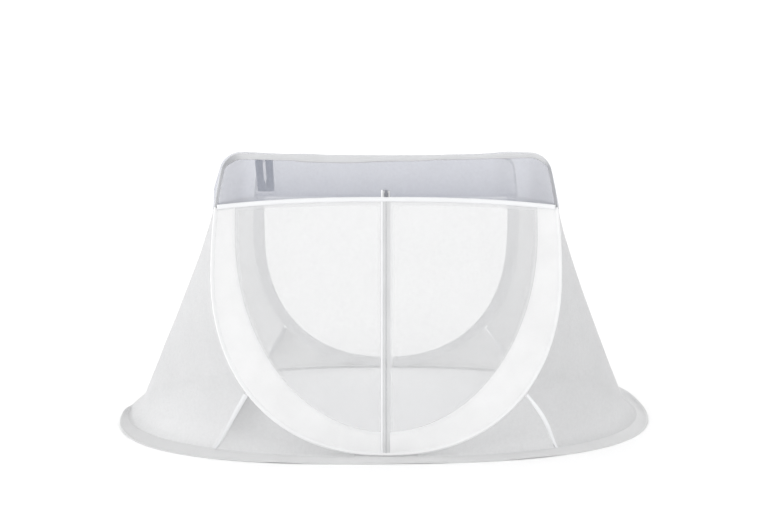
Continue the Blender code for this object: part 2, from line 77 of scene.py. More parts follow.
def length(name, default, description):
    return FloatProperty(name=name, default=default, description=description, unit="LENGTH",
                         precision=4)


def number(name, default, description):
    return FloatProperty(name=name, default=default, description=description, precision=3)


def share(name, default, description):
    return FloatProperty(name=name, default=default, description=description, min=0.0, max=1.0,
                         subtype="FACTOR")


def tint(name, default, description):
    return FloatVectorProperty(name=name, default=default, description=description, size=3,
                               min=0.0, max=1.0, subtype="COLOR")


class CanopyHoops(bpy.types.PropertyGroup):
    """The two spring-steel hoops."""
    radius: length("Sleeve radius", 0.0045, "Radius of a hoop in its narrow sleeve")
    half_width: length("Half-width", 0.5775, "Widest half-width of the centre line")
    bottom: length("Bottom", 0.0068, "Height of the centre line at its lowest point")
    waist: length("Waist", 0.603, "Height of the widest point")
    roundness: number("Roundness", 2.22, "Superellipse exponent of the lower part")
    shoulder: length("Shoulder", 0.927, "Height where the top corner begins")
    taper: length("Taper", 0.0315, "How far the sides draw in from waist to shoulder")
    side_curve: number("Side curve", 2.3, "How late the sides draw in")
    corner: length("Corner radius", 0.066, "Radius of the top corners")
    top_sag: length("Top sag", 0.008, "Dip of the top edge between its corners")
    foot: length("Foot", 0.530, "Distance of a hoop plane from the middle, at the floor")
    lean: number("Lean", 0.19, "Inward lean, metres for each metre of height")
    casing: length("Casing depth", 0.0215, "Depth of the cloth casing under the top of a hoop")


class CanopyWalls(bpy.types.PropertyGroup):
    """Side walls, corner pieces, roof and skirt."""
    depth: length("Wall half-depth", 0.530, "Half-depth of the oval that the walls stand on")
    roundness: number("Wall roundness", 2.2, "Superellipse exponent of that oval")
    left_reach: length("Left reach", 0.966, "Half-width of the left wall at the floor")
    left_lean: number("Left lean", 0.455, "Inward lean of the left wall")
    left_flare: number("Left flare", 0.033, "Outward curve of the left wall")
    left_bow: length("Left seam bow", 0.002, "Bow of the left corner seams")
    right_reach: length("Right reach", 0.944, "Half-width of the right wall at the floor")
    right_lean: number("Right lean", 0.44, "Inward lean of the right wall")
    right_flare: number("Right flare", 0.045, "Outward curve of the right wall")
    right_bow: length("Right seam bow", 0.016, "Bow of the right corner seams")
    seam_height: length("Seam height", 0.200, "Height where a corner seam leaves the hoop")
    side_join: length("Side join", 0.207, "The wall follows the hoop down to here")
    seam_foot: length("Seam foot", 0.566, "Distance of a corner seam's foot from the middle")
    gusset_tip: length("Gusset tip", 0.105, "Where a gusset ends, near the middle")
    shoulder: length("Roof edge", 0.800, "Height where the walls end and the roof cloth begins")
    roof_sag: length("Roof sag", 0.010, "Sag of the roof between the hoops")
    left_swell: length("Left roof swell", 0.030, "How far the roof swells out on the left")
    right_swell: length("Right roof swell", 0.0, "How far the roof swells out on the right")
    swell_rise: length("Roof swell rise", 0.060, "Height over which the roof swells out")
    tape_half: length("Seam tape half-width", 0.0058, "Half-width of a corner seam tape")
    skirt_width: length("Skirt half-width", 1.000, "Half-width of the skirt")
    skirt_depth: length("Skirt half-depth", 0.593, "Half-depth of the skirt")
    skirt_roundness: number("Skirt roundness", 2.6, "Superellipse exponent of the skirt's edge")
    skirt_skew: number("Skirt skew", 0.022, "How much further back the skirt lies on the right")
    skirt_underlap: length("Skirt underlap", 0.015, "Skirt cloth that reaches in under the walls")
    skirt_thickness: length("Skirt thickness", 0.002, "Thickness of the skirt")


class CanopyFront(bpy.types.PropertyGroup):
    """Front and back panels, binding, zip and strap."""
    border_half: length("Border inner half-width", 0.503, "Inner edge of the opaque border")
    border_bottom: length("Border bottom", 0.077, "Height of its inner edge at the zip")
    border_waist: length("Border waist", 0.720, "Height where its inner edge stands upright")
    arc_centre: length("Bound edge middle", 0.830, "Height of the bound edge at the middle")
    arc_end: length("Bound edge end", 0.804, "Height of the bound edge at the hoop")
    arc_power: number("Bound edge curve", 2.4, "How late the bound edge bends down")
    arc_half: length("Bound edge half-height", 0.0078, "Half of the binding's height")
    arc_bulge: length("Bound edge half-thickness", 0.0025, "Half of the binding's thickness")
    zip_half: length("Zip half-width", 0.0120, "Half-width of the zip tape")
    zip_top: length("Zip top", 0.858, "Height where the zip tape ends")
    flap: length("Zip flap", 0.005, "Width of the white flap beside the zip tape")
    back_border: length("Back border", 0.040, "Width of the back panel's border")
    back_border_top: length("Back border top", 0.800, "Height where that border ends")
    strap_x: length("Strap place across", -0.490, "Middle of the strap, across")
    strap_y: length("Strap place in depth", 0.160, "Middle of the strap, front to back")
    strap_width: length("Strap width", 0.070, "Both strands and the slit between them")
    strap_length: length("Strap length", 0.146, "Length that hangs from the roof")
    strap_slit: length("Strap slit", 0.010, "Gap between the two strands")


class CanopyLooks(bpy.types.PropertyGroup):
    """Colours in linear light, and how open each net is."""
    white_cloth: tint("White border", (0.905, 0.907, 0.910), "Opaque border cloth")
    binding: tint("Binding", (0.860, 0.866, 0.880), "Bound edge, flap and seam tapes")
    sleeve: tint("Hoop sleeve", (0.840, 0.843, 0.848), "Lower hoop sleeve")
    casing: tint("Top casing", (0.820, 0.825, 0.838), "Cloth round the top of the hoops")
    # casing_fold: the front casing where its layers gather, and its painted shade
    casing_fold: tint("Casing fold", (0.440, 0.450, 0.475), "Casing where its layers gather")
    door_net: tint("Door net", (0.830, 0.832, 0.836), "Yarn of the door and back nets")
    side_net: tint("Side net", (0.675, 0.677, 0.681), "Yarn of the side nets")
    # side_foot_painted_light: painted light where the walls meet the skirt
    side_foot_painted_light: tint("Side net foot", (0.920, 0.922, 0.925), "Yarn where a wall meets the skirt")
    # corner_net is the darkest tone, kept near the seam tops, and corner_foot_painted_light the
    # lightest: a painted light and shade gradient on the corner nets.
    corner_net: tint("Corner net", (0.540, 0.542, 0.546), "Yarn of the low corner nets")
    corner_foot_painted_light: tint("Corner net foot", (0.870, 0.872, 0.875), "Yarn where they meet the skirt")
    skirt: tint("Skirt", (0.685, 0.687, 0.691), "Cloth of the floor skirt")
    # skirt_left_shade: painted shade on the skirt's left end, under the side light
    skirt_left_shade: tint("Skirt, left end", (0.640, 0.642, 0.646), "Cloth of its left end")
    # Painted shade: the left seam tapes take this darker copy of the binding colour, against the
    # side light.
    seam_tape: tint("Left seam tape", (0.740, 0.745, 0.757), "Tape over the left corner seams")
    shade: tint("Shade cloth", (0.541, 0.554, 0.618), "Grey-blue cloth of valances and roof")
    # shade_cloth_painted_shade: painted shade on the valances, towards their lower edge and at
    # their ends
    shade_cloth_painted_shade: tint("Shade cloth, folded", (0.370, 0.380, 0.425), "Where it lies doubled")
    zip_tape: tint("Zip tape", (0.690, 0.695, 0.702), "Woven zip tape")
    zip_plastic: tint("Zip plastic", (0.560, 0.565, 0.580), "Teeth of the zip")
    slider: tint("Slider", (0.230, 0.238, 0.265), "Slider and its pull")
    webbing: tint("Webbing", (0.022, 0.026, 0.036), "Strap under the roof")
    door_cover: share("Door net cover", 0.40, "Share of the door net that is yarn")
    side_cover: share("Side net cover", 0.90, "Share of the side nets that is yarn")
    corner_cover: share("Corner net cover", 0.88, "Share of the corner nets that is yarn")
    shade_cover: share("Shade cover", 0.49, "Share of the shade cloth that is yarn")
    mesh_pitch: length("Net pitch", 0.0019, "Distance between the net's yarns")
    weave_pitch: length("Weave pitch", 0.0011, "Distance between the woven yarns")


class CanopyStage(bpy.types.PropertyGroup):
    """Camera and light."""
    camera_x: length("Camera across", -0.004, "Camera place, across")
    camera_y: length("Camera in depth", -2.872, "Camera place, front to back")
    camera_z: length("Camera height", 0.970, "Camera height")
    camera_pitch: FloatProperty(name="Camera pitch", default=math.atan(100 / 750),
                                description="How far the camera looks down", subtype="ANGLE")
    camera_lens: number("Lens", SENSOR * 750 / 770, "Focal length in mm, on a 36 mm sensor")
    sky: number("Studio light", 1.12, "Strength of the even studio light")
    key: number("Side light", 1.5, "Strength of the soft light from the left")


def hoops():
    return bpy.context.scene.canopy_hoops


def walls():
    return bpy.context.scene.canopy_walls


def front():
    return bpy.context.scene.canopy_front


def looks():
    return bpy.context.scene.canopy_looks


class Side:
    """Curve values of the left or right side of the canopy."""

    def __init__(self, name):
        w = walls()
        self.name = name
        self.sign = -1 if name == "left" else 1
        self.reach = getattr(w, name + "_reach")
        self.lean = getattr(w, name + "_lean")
        self.flare = getattr(w, name + "_flare")
        self.bow = getattr(w, name + "_bow")
        self.swell = getattr(w, name + "_swell")

    def middle(self, height):
        """Half-width of the middle section at a height."""
        return self.reach - self.lean * height + self.flare * height ** 2

    def mirror(self, face):
        """Factors that take a place in the right back quarter to this side, front or back."""
        return np.array([self.sign, face, 1])


# ---- small helpers ----

def smooth(t):
    """Soft step from 0 to 1 as t goes from 0 to 1."""
    t = np.clip(t, 0.0, 1.0)
    return t * t * (3 - 2 * t)


def signed_power(values, power):
    return np.sign(values) * np.abs(values) ** power


def centred_shares(count):
    """Row of shares from -1 to 1, closest together at the ends."""
    return np.sin(np.linspace(-math.pi / 2, math.pi / 2, count))[None, :]


def full_turn(count):
    """Angles of evenly spaced points round a circle."""
    return np.linspace(0, 2 * math.pi, count, endpoint=False)


def unit(vectors):
    size = np.linalg.norm(vectors, axis=-1, keepdims=True)
    return vectors / np.maximum(size, 1e-12)


def drift(points, seed, size):
    """Soft uneven field, about -1 to 1, over points, with features of a size in metres."""
    draw = np.random.default_rng(seed)
    total = np.zeros(points.shape[:-1])
    for _ in range(8):
        direction = unit(draw.normal(size=3))
        wave = 2 * math.pi / (size * draw.uniform(0.6, 1.7))
        total += np.sin(points @ direction * wave + draw.uniform(0, 2 * math.pi))
    return total / 4.0


def waves(points, seed, *sorts):
    """Uneven waves of a few sorts, each given as (height, size) in metres."""
    return sum(height * drift(points, seed + k, size) for k, (height, size) in enumerate(sorts))


def arch(t, power):
    """0 at both ends of t from 0 to 1, and 1 in its middle."""
    return np.sin(math.pi * t) ** power


def hem_share(distance, width, edge=0.002):
    """1 within a hem's width from the edge of the cloth, and 0 past it."""
    return 1 - smooth((distance - width) / edge)


def bell(distance, width):
    """1 at a place, fading to 0 within about two widths of it."""
    return np.exp(-(distance / width) ** 2)


def crease(points, start, end, width, seed):
    """Soft ridge, 0 to 1, along the line from start to end, thinning to nothing at its end."""
    a, b = np.array(start, float), np.array(end, float)
    line = b - a
    t = np.clip((points - a) @ line / (line @ line), 0.0, 1.0)
    bend = 0.15 * width * np.sin(9 * t + seed)
    away = np.linalg.norm(points - (a + t[..., None] * line), axis=-1) + bend
    return np.exp(-(away / (width * (0.5 + 0.8 * t))) ** 2) * np.sin(math.pi * (0.08 + 0.9 * t))


def lengths_along(points):
    """Distance of each point of a line from its start, along it."""
    steps = np.linalg.norm(np.diff(points, axis=0), axis=-1)
    return np.concatenate([[0.0], np.cumsum(steps)])


def even(points, count):
    """The same line with its points at even distances."""
    along = lengths_along(points)
    return at_lengths(points, along, np.linspace(0, along[-1], count))


def at_lengths(points, along, places):
    """Points of a line at given lengths along it."""
    return np.stack([np.interp(places, along, column) for column in points.T], axis=-1)


def between(inner, outer, shares):
    """Grid of places from an inner line, share 0, to an outer one, share 1."""
    shares = shares[None, :, None]
    return inner[:, None] * (1 - shares) + outer[:, None] * shares


def grid_normals(grid, wrap_columns=False):
    """Directions square to a grid's surface; its columns may close to a ring."""
    down = np.gradient(grid, axis=0)
    if wrap_columns:
        return unit(np.cross(down, np.roll(grid, -1, 1) - np.roll(grid, 1, 1)))
    return unit(np.cross(down, np.gradient(grid, axis=1)))


# ---- mesh makers ----

def place(name, data):
    """New object of a mesh, a lamp or a camera, in the scene."""
    item = bpy.data.objects.new(name, data)
    bpy.context.scene.collection.objects.link(item)
    return item


def place_mesh(name, mesh, material):
    """Object of a finished mesh, smooth and in one material."""
    mesh.shade_smooth()
    mesh.materials.append(material)
    return place(name, mesh)


def face_outward(mesh):
    """Turns the faces of closed forms outward."""
    work = bmesh.new()
    work.from_mesh(mesh)
    bmesh.ops.recalc_face_normals(work, faces=work.faces)
    work.to_mesh(mesh)
    work.free()


def closed_forms(name, vertices, faces, material):
    """Object of many small closed forms, such as stitches, in one mesh."""
    mesh = bpy.data.meshes.new(name)
    mesh.from_pydata([tuple(v) for v in vertices], [], faces)
    face_outward(mesh)
    return place_mesh(name, mesh, material)


def add_piece(name, vertices, faces, material, maps, tidy=False, marks=None):
    """Mesh object from points and faces. maps gives its UV maps, a row for each corner, and
    marks its numbers for each vertex, which the material reads. tidy joins the points that
    fall together where a grid narrows to nothing."""
    mesh = bpy.data.meshes.new(name)
    mesh.from_pydata(np.asarray(vertices, float).tolist(), [], [list(map(int, f)) for f in faces])
    for label, corners in maps.items():
        layer = mesh.uv_layers.new(name=label)
        layer.uv.foreach_set("vector", np.asarray(corners, np.float32).ravel())
    for label, values in (marks or {}).items():
        mark(mesh, label, values)
    if tidy:
        work = bmesh.new()
        work.from_mesh(mesh)
        bmesh.ops.remove_doubles(work, verts=work.verts, dist=JOIN_WITHIN)
        bmesh.ops.dissolve_degenerate(work, edges=work.edges, dist=JOIN_WITHIN / 2)
        work.to_mesh(mesh)
        work.free()
    return place_mesh(name, mesh, material)


def mark(mesh, label, values):
    """Gives a mesh one number for each vertex, for its material to read."""
    layer = mesh.attributes.new(label, "FLOAT", "POINT")
    layer.data.foreach_set("value", np.asarray(values, np.float32).ravel())


def grid_faces(rows, columns, wrap_rows=False, wrap_columns=False, flip=False):
    """Quads of a grid, and the grid places of their corners, past the end where it wraps."""
    i, j = np.meshgrid(np.arange(rows if wrap_rows else rows - 1),
                       np.arange(columns if wrap_columns else columns - 1), indexing="ij")
    i, j = i.ravel(), j.ravel()
    corners = [(i, j), (i + 1, j), (i + 1, j + 1), (i, j + 1)]
    if flip:
        corners.reverse()
    faces = np.stack([(a % rows) * columns + b % columns for a, b in corners], axis=-1)
    places = np.stack([np.stack([a, b], axis=-1) for a, b in corners], axis=1)
    return faces, places


def metre_map(grid, middle=False):
    """Distances across and down a grid, in metres; across counts from the middle if asked."""
    across = np.linalg.norm(np.diff(grid, axis=1), axis=-1)
    across = np.concatenate([np.zeros((len(grid), 1)), np.cumsum(across, axis=1)], axis=1)
    if middle:
        across -= across[:, across.shape[1] // 2:across.shape[1] // 2 + 1]
    down = np.linalg.norm(np.diff(grid, axis=0), axis=-1)
    down = np.concatenate([np.zeros((1, grid.shape[1])), np.cumsum(down, axis=0)], axis=0)
    return np.stack([across, down], axis=-1)


def cloth(name, grid, material, metres=None, thickness=None, tidy=False, hem=None, fold=None):
    """Sheet of cloth over a grid of points: one layer, or a closed shell with a thickness.
    hem and fold, 0 to 1 for each point of one layer, tell where the cloth is doubled and
    where it takes its fold colour; on some pieces they carry painted shade and painted light."""
    rows, columns = grid.shape[:2]
    metres = metre_map(grid) if metres is None else metres
    faces, places = grid_faces(rows, columns)
    flat = metres[places[..., 0], places[..., 1]]
    if thickness is None:
        spread = places[..., ::-1] / np.array([columns - 1, rows - 1])
        maps = {CLOTH_MAP: flat, BAKE_MAP: 0.002 + 0.996 * spread}
        marks = {label: np.broadcast_to(values, (rows, columns))
                 for label, values in (("Hem", hem), ("Fold", fold)) if values is not None}
        return add_piece(name, grid.reshape(-1, 3), faces, material, maps, tidy, marks)
    half = grid_normals(grid) * (np.broadcast_to(thickness, (rows, columns))[..., None] / 2)
    count = rows * columns
    back_faces, back_places = grid_faces(rows, columns, flip=True)
    rim = [(0, j) for j in range(columns)] + [(i, columns - 1) for i in range(1, rows)]
    rim += [(rows - 1, j) for j in range(columns - 2, -1, -1)]
    rim = np.array(rim + [(i, 0) for i in range(rows - 2, 0, -1)])
    after = np.roll(rim, -1, axis=0)
    a, b = rim[:, 0] * columns + rim[:, 1], after[:, 0] * columns + after[:, 1]
    rim_faces = np.stack([a, b, b + count, a + count], axis=-1)
    rim_flat = metres[rim[:, 0], rim[:, 1]]
    after_flat = metres[after[:, 0], after[:, 1]]
    corners = np.concatenate([flat, metres[back_places[..., 0], back_places[..., 1]],
                              np.stack([rim_flat, after_flat, after_flat, rim_flat], axis=1)])
    vertices = np.concatenate([(grid + half).reshape(-1, 3), (grid - half).reshape(-1, 3)])
    piece = add_piece(name, vertices, np.concatenate([faces, back_faces + count, rim_faces]),
                      material, {CLOTH_MAP: corners}, tidy)
    piece.data.set_sharp_from_angle(angle=SHARP_FROM)
    return piece


def ring_sides(ring):
    """Lengths of the sides of a closed ring of points."""
    return np.linalg.norm(np.roll(ring, -1, axis=0) - ring, axis=-1)


def sleeve(name, centres, side, out, section, material, wall):
    """Open-ended tube of cloth along a line. section gives, for each point, its ring as
    (across, out) pairs; the cloth has a wall thickness, so the tube is a hollow shell."""
    rings = centres[:, None] + side[:, None] * section[..., :1] + out[:, None] * section[..., 1:]
    rows, count = section.shape[:2]
    normals = grid_normals(rings, wrap_columns=True)
    if ((rings - rings.mean(axis=1, keepdims=True)) * normals).sum() < 0:
        normals = -normals
    round_it = np.concatenate([[0.0], np.cumsum(ring_sides(section[0]))])
    metres = np.stack(np.broadcast_arrays(round_it[None, :], lengths_along(centres)[:, None]),
                      axis=-1)
    all_faces, all_corners = [], []
    for layer, flip in enumerate((False, True)):
        faces, places = grid_faces(rows, count, wrap_columns=True, flip=flip)
        all_faces.append(faces + layer * rows * count)
        all_corners.append(metres[places[..., 0], places[..., 1]])
    turn = np.arange(count)
    for row, order in ((0, 1), (rows - 1, -1)):
        a, b = row * count + turn, row * count + (turn + 1) % count
        inside = rows * count
        all_faces.append(np.stack([a, b, b + inside, a + inside][::order], axis=-1))
        near, far = metres[row, :-1], metres[row, 1:]
        all_corners.append(np.stack([near, far, far, near][::order], axis=1))
    vertices = np.concatenate([rings.reshape(-1, 3), (rings - normals * wall).reshape(-1, 3)])
    piece = add_piece(name, vertices, np.concatenate(all_faces), material,
                      {CLOTH_MAP: np.concatenate(all_corners)})
    face_outward(piece.data)
    return piece


def stitches(name, lines, material, slot, stitch=STITCH, gap=STITCH_GAP):
    """Machine stitches along lines of (points, normals), as one finished piece. Each is a
    short six-sided thread that dives into the cloth at both ends."""
    vertices, faces = [], []
    turn = full_turn(THREAD_SIDES)[:, None]
    lift = np.array([[-0.3], [0.9], [0.9], [-0.3]]) * THREAD_RADIUS
    for points, normals in lines:
        along = lengths_along(points)
        count = int(along[-1] / (stitch + gap))
        for start in (np.arange(count) + 0.15) * (along[-1] / max(count, 1)):
            spots = start + stitch * np.array([0.0, 0.22, 0.78, 1.0])
            at = at_lengths(points, along, spots)
            up = unit(at_lengths(normals, along, spots))
            across = unit(np.cross(unit(at[3] - at[0]), up[1]))
            at = at + up * lift
            rings = [at[k] + THREAD_RADIUS * (across * np.cos(turn) + up[k] * np.sin(turn))
                     for k in (1, 2)]
            base = len(vertices)
            vertices.extend([at[0], *rings[0], *rings[1], at[3]])
            last = base + 2 * THREAD_SIDES + 1
            for k in range(THREAD_SIDES):
                near, after = base + 1 + k, base + 1 + (k + 1) % THREAD_SIDES
                faces.append((base, after, near))
                faces.append((near, after, after + THREAD_SIDES, near + THREAD_SIDES))
                faces.append((last, near + THREAD_SIDES, after + THREAD_SIDES))
    return settle(closed_forms(name, vertices, faces, material), slot)


def settle(piece, slot, *nodes):
    """Rides a finished piece on the canopy's body and hides the frame nodes it stands for; slot
    is not used.
    """
    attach(piece, BODY)
    if nodes:
        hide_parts(*nodes)
    return piece


def grid_area(grid):
    """Area of a grid's surface, from the two triangles of each of its quads."""
    a = np.cross(grid[1:, :-1] - grid[:-1, :-1], grid[:-1, 1:] - grid[:-1, :-1])
    b = np.cross(grid[1:, :-1] - grid[1:, 1:], grid[:-1, 1:] - grid[1:, 1:])
    return float(np.linalg.norm(a, axis=-1).sum() + np.linalg.norm(b, axis=-1).sum()) / 2


def declare(width, height, area):
    """Works out a cut piece's size and flat area, the area held between the least share and
    the whole of its cut; nothing is kept.
    """
    width, height = float(width), float(height)
    area = min(max(float(area), LEAST_AREA * width * height), width * height)


def declare_strip(width, run):
    """Hands a stretched strip of one width, such as a sleeve, a tape or a binding, to declare."""
    declare(width, run, width * run)


# ---- materials ----

class Recipe:
    """Builds one node material."""

    def __init__(self, name):
        self.material = bpy.data.materials.new(name)
        self.material.use_nodes = True
        self.tree = self.material.node_tree
        self.tree.nodes.clear()
        cloth_map = self.add("ShaderNodeUVMap")
        cloth_map.uv_map = CLOTH_MAP
        self.flat = cloth_map.outputs["UV"]
        parts = self.add("ShaderNodeSeparateXYZ", Vector=self.flat)
        self.across, self.along = parts.outputs["X"], parts.outputs["Y"]
        self.place = self.add("ShaderNodeTexCoord").outputs["Object"]

    def add(self, kind, **sockets):
        node = self.tree.nodes.new(kind)
        for label, value in sockets.items():
            self.feed(node.inputs[label.replace("_", " ")], value)
        return node

    def feed(self, socket, value):
        if isinstance(value, bpy.types.NodeSocket):
            self.tree.links.new(value, socket)
        else:
            socket.default_value = value

    def maths(self, operation, *values):
        node = self.tree.nodes.new("ShaderNodeMath")
        node.operation = operation
        for socket, value in zip(node.inputs, values):
            self.feed(socket, value)
        return node.outputs[0]

    def noise(self, scale, detail=3.0):
        return self.add("ShaderNodeTexNoise", Vector=self.place, Scale=scale,
                        Detail=detail, Roughness=0.5).outputs["Fac"]

    def ranged(self, value, low, high, from_low=0.0, from_high=1.0):
        node = self.add("ShaderNodeMapRange", Value=value, From_Min=from_low, From_Max=from_high,
                        To_Min=low, To_Max=high)
        return node.outputs["Result"]

    def blend(self, amount, first, second):
        node = self.tree.nodes.new("ShaderNodeMix")
        node.data_type = "RGBA"
        self.feed(node.inputs["Factor"], amount)
        for label, value in (("A", first), ("B", second)):
            colours = [s for s in node.inputs if s.name == label and s.type == "RGBA"]
            self.feed(colours[0], value)
        return [s for s in node.outputs if s.type == "RGBA"][0]

    def yarns(self, coordinate, pitch, sharp):
        """Rounded ridges, 0 to 1, one for each pitch."""
        turn = self.maths("MULTIPLY", coordinate, math.pi / pitch)
        return self.maths("POWER", self.maths("ABSOLUTE", self.maths("COSINE", turn)), sharp)

    def wander(self, coordinate, amount, scale, seed):
        """Moves a coordinate a little from place to place, so that yarns are uneven."""
        node = self.add("ShaderNodeTexNoise", Vector=self.flat, Scale=scale, Detail=1.0)
        node.noise_dimensions = "4D"
        node.inputs["W"].default_value = seed
        return self.maths("MULTIPLY_ADD", node.outputs["Fac"], amount, coordinate)

    def bump(self, height, strength, distance, normal=None):
        node = self.add("ShaderNodeBump", Height=height, Strength=strength, Distance=distance)
        if normal is not None:
            self.feed(node.inputs["Normal"], normal)
        return node.outputs["Normal"]

    def mottled(self, colour, spread, scale, detail=3.0, fleck=None):
        """A colour that goes softly from a little darker to a little lighter."""
        low = (*[c * (1 - spread) for c in colour], 1.0)
        high = (*[min(c * (1 + spread), 1.0) for c in colour], 1.0)
        amount = self.ranged(self.noise(scale, detail), 0.0, 1.0, 0.3, 0.7)
        if fleck is not None:
            amount = self.maths("ADD", amount, fleck)
        return self.blend(amount, low, high)

    def value_of(self, label):
        """One of the numbers that a piece gives its vertices."""
        node = self.tree.nodes.new("ShaderNodeAttribute")
        node.attribute_name = label
        return node.outputs["Fac"]

    def fold_and_shading_tone(self, tone, colour):
        """Turns a tone into another colour by the piece's Fold value, which marks
        folds, painted shade and painted light.
        """
        return self.blend(self.value_of("Fold"), tone, (*colour, 1.0))

    def layered(self, share, first, second):
        """Mix of two shaders; share is that of the second."""
        node = self.add("ShaderNodeMixShader", Fac=share)
        for socket, shader in zip(node.inputs[1:], (first, second)):
            self.tree.links.new(shader.outputs[0], socket)
        return node

    def finish(self, shader):
        out = self.tree.nodes.new("ShaderNodeOutputMaterial")
        self.tree.links.new(shader.outputs[0], out.inputs["Surface"])
        return self.material


def sheer_material(name, colour, cover, pitch, through, contrast=0.16, uneven=0.02, fold=None):
    """Fine net: two crossing sets of yarns over clear gaps, uneven like a stretched knit. fold
    is its colour where the piece's Fold value is 1, and the Hem value makes
    it denser; pieces use both for hems and for painted shade and painted light."""
    r = Recipe(name)
    u = r.wander(r.across, 0.0011, 55.0, 1.0)
    v = r.wander(r.along, 0.0011, 55.0, 7.0)
    net = r.maths("MAXIMUM", r.yarns(u, pitch, 2.2), r.yarns(v, pitch, 2.2))
    yarn_share = r.ranged(net, cover - contrast, cover + contrast * 0.45)
    yarn_share = r.maths("ADD", yarn_share, r.ranged(r.noise(7.0), -uneven, uneven, 0.3, 0.7))
    yarn_share = r.maths("ADD", yarn_share, r.ranged(r.noise(90.0, 2.0), -0.02, 0.02, 0.3, 0.7))
    hem = r.value_of("Hem")
    covered = r.maths("MULTIPLY_ADD", hem, (1 - cover) * 0.55, yarn_share)
    tone = r.mottled(colour, 0.015, 11.0, 4.0)
    if fold is not None:
        tone = r.fold_and_shading_tone(tone, fold)
    yarn = r.add("ShaderNodeBsdfPrincipled", Base_Color=tone, Roughness=0.82,
                 Normal=r.bump(net, 0.35, 0.0004), Sheen_Weight=0.15, Sheen_Roughness=0.5,
                 Specular_IOR_Level=0.25)
    glow = r.add("ShaderNodeBsdfTranslucent", Color=tone)
    clear = r.add("ShaderNodeBsdfTransparent")
    return r.finish(r.layered(covered, clear, r.layered(through, yarn, glow)))


def woven_material(name, colour, pitch, rough=0.8, spread=0.03, strength=0.35, sheen=0.2,
                   through=0.0, ribs=None, fold=None):
    """Plain woven cloth: over-and-under yarns, soft tone changes and faint creases. fold is
    its colour where the piece's Fold value is 1, used for gathered layers and for
    painted shade."""
    r = Recipe(name)
    u = r.wander(r.across, 0.0006, 70.0, 2.0)
    v = r.wander(r.along, 0.0006, 70.0, 9.0)
    warp, weft = r.yarns(u, pitch, 1.0), r.yarns(v, pitch if ribs is None else ribs, 1.0)
    checks = [r.maths("SINE", r.maths("MULTIPLY", yarn, math.pi / pitch)) for yarn in (u, v)]
    over = r.maths("GREATER_THAN", r.maths("MULTIPLY", *checks), 0.0)
    weave = r.maths("ADD", r.maths("MULTIPLY", warp, 0.6), r.maths("MULTIPLY", weft, 0.4))
    weave = r.maths("ADD", r.maths("MULTIPLY", over, 0.25), weave)
    fleck = r.ranged(r.noise(420.0, 2.0), -0.25, 0.25, 0.3, 0.7)
    tone = r.mottled(colour, spread, 9.0, 4.0, fleck)
    if fold is not None:
        tone = r.fold_and_shading_tone(tone, fold)
    soft = r.bump(r.noise(26.0), 0.25, 0.004)
    body = r.add("ShaderNodeBsdfPrincipled", Base_Color=tone,
                 Roughness=r.ranged(weave, rough + 0.06, rough - 0.06),
                 Normal=r.bump(weave, strength, 0.00035, soft), Sheen_Weight=sheen,
                 Sheen_Roughness=0.45, Specular_IOR_Level=0.3)
    if through:
        body = r.layered(through, body,
                         r.add("ShaderNodeBsdfTranslucent", Color=tone, Normal=soft))
    return r.finish(body)


def thread_material(name, colour):
    """Twisted sewing thread, seen only close up."""
    r = Recipe(name)
    return r.finish(r.add("ShaderNodeBsdfPrincipled",
                          Base_Color=r.mottled(colour, 0.06, 900.0, 2.0), Roughness=0.65,
                          Normal=r.bump(r.noise(2600.0, 1.0), 0.4, 0.0001),
                          Sheen_Weight=0.15, Specular_IOR_Level=0.35))


def plastic_material(name, colour, rough):
    """Moulded plastic with a fine satin grain and lighter worn edges."""
    r = Recipe(name)
    roughness = r.ranged(r.noise(300.0, 2.0), rough - 0.08, rough + 0.08, 0.3, 0.7)
    return r.finish(r.add("ShaderNodeBsdfPrincipled",
                          Base_Color=r.mottled(colour, 0.08, 240.0), Roughness=roughness,
                          Normal=r.bump(r.noise(1500.0, 2.0), 0.15, 0.0001),
                          Specular_IOR_Level=0.45))


def shared(name, maker, *values, **more):
    """The named material, made the first time it is asked for."""
    return bpy.data.materials.get(name) or maker(name, *values, **more)


def woven(name, colour, **more):
    """Woven cloth in one of the colours of the looks."""
    return shared(name, woven_material, getattr(looks(), colour), looks().weave_pitch, **more)


def sheer(name, colour, cover, through, pitch_share=1.0, **more):
    """Net in one of the colours and covers of the looks."""
    return shared(name, sheer_material, getattr(looks(), colour), getattr(looks(), cover),
                  looks().mesh_pitch * pitch_share, through, **more)


def thread(name, colour):
    return shared(name, thread_material, getattr(looks(), colour))


TAPE_RIBS = 0.0022


def white_cloth():
    return woven("white border cloth", "white_cloth", through=0.10)


def white_tape():
    return woven("white binding tape", "binding", ribs=TAPE_RIBS, spread=0.02)


# Painted shade: a darker copy of the binding for the tapes on the lit left side.
def shaded_left_tape():
    return woven("left seam tape", "seam_tape", ribs=TAPE_RIBS, spread=0.02)


def white_sleeve():
    return woven("white hoop sleeve", "sleeve", rough=0.6)


def grey_casing():
    return woven("grey casing cloth", "casing", through=0.25, fold=looks().casing_fold)


# Painted light: the back casing takes the white border colour and lets more light through than the
# front's, so its shaded side reads light.
def lightened_back_casing():
    return woven("pale casing cloth", "white_cloth", through=0.55)


def skirt_cloth():
    return woven("skirt cloth", "skirt", fold=looks().skirt_left_shade)


def door_mesh():
    return sheer("door net", "door_net", "door_cover", 0.45)


def side_mesh():
    return sheer("side net", "side_net", "side_cover", 0.36, contrast=0.10, uneven=0.01,
                 fold=looks().side_foot_painted_light)


def corner_mesh():
    return sheer("corner net", "corner_net", "corner_cover", 0.36, contrast=0.10, uneven=0.01,
                 fold=looks().corner_foot_painted_light)


def shade_mesh():
    return sheer("grey shade cloth", "shade", "shade_cover", 0.45, 0.8, contrast=0.12,
                 uneven=0.015, fold=looks().shade_cloth_painted_shade)


def white_thread():
    return thread("white thread", "binding")


# ---- hoop lines ----

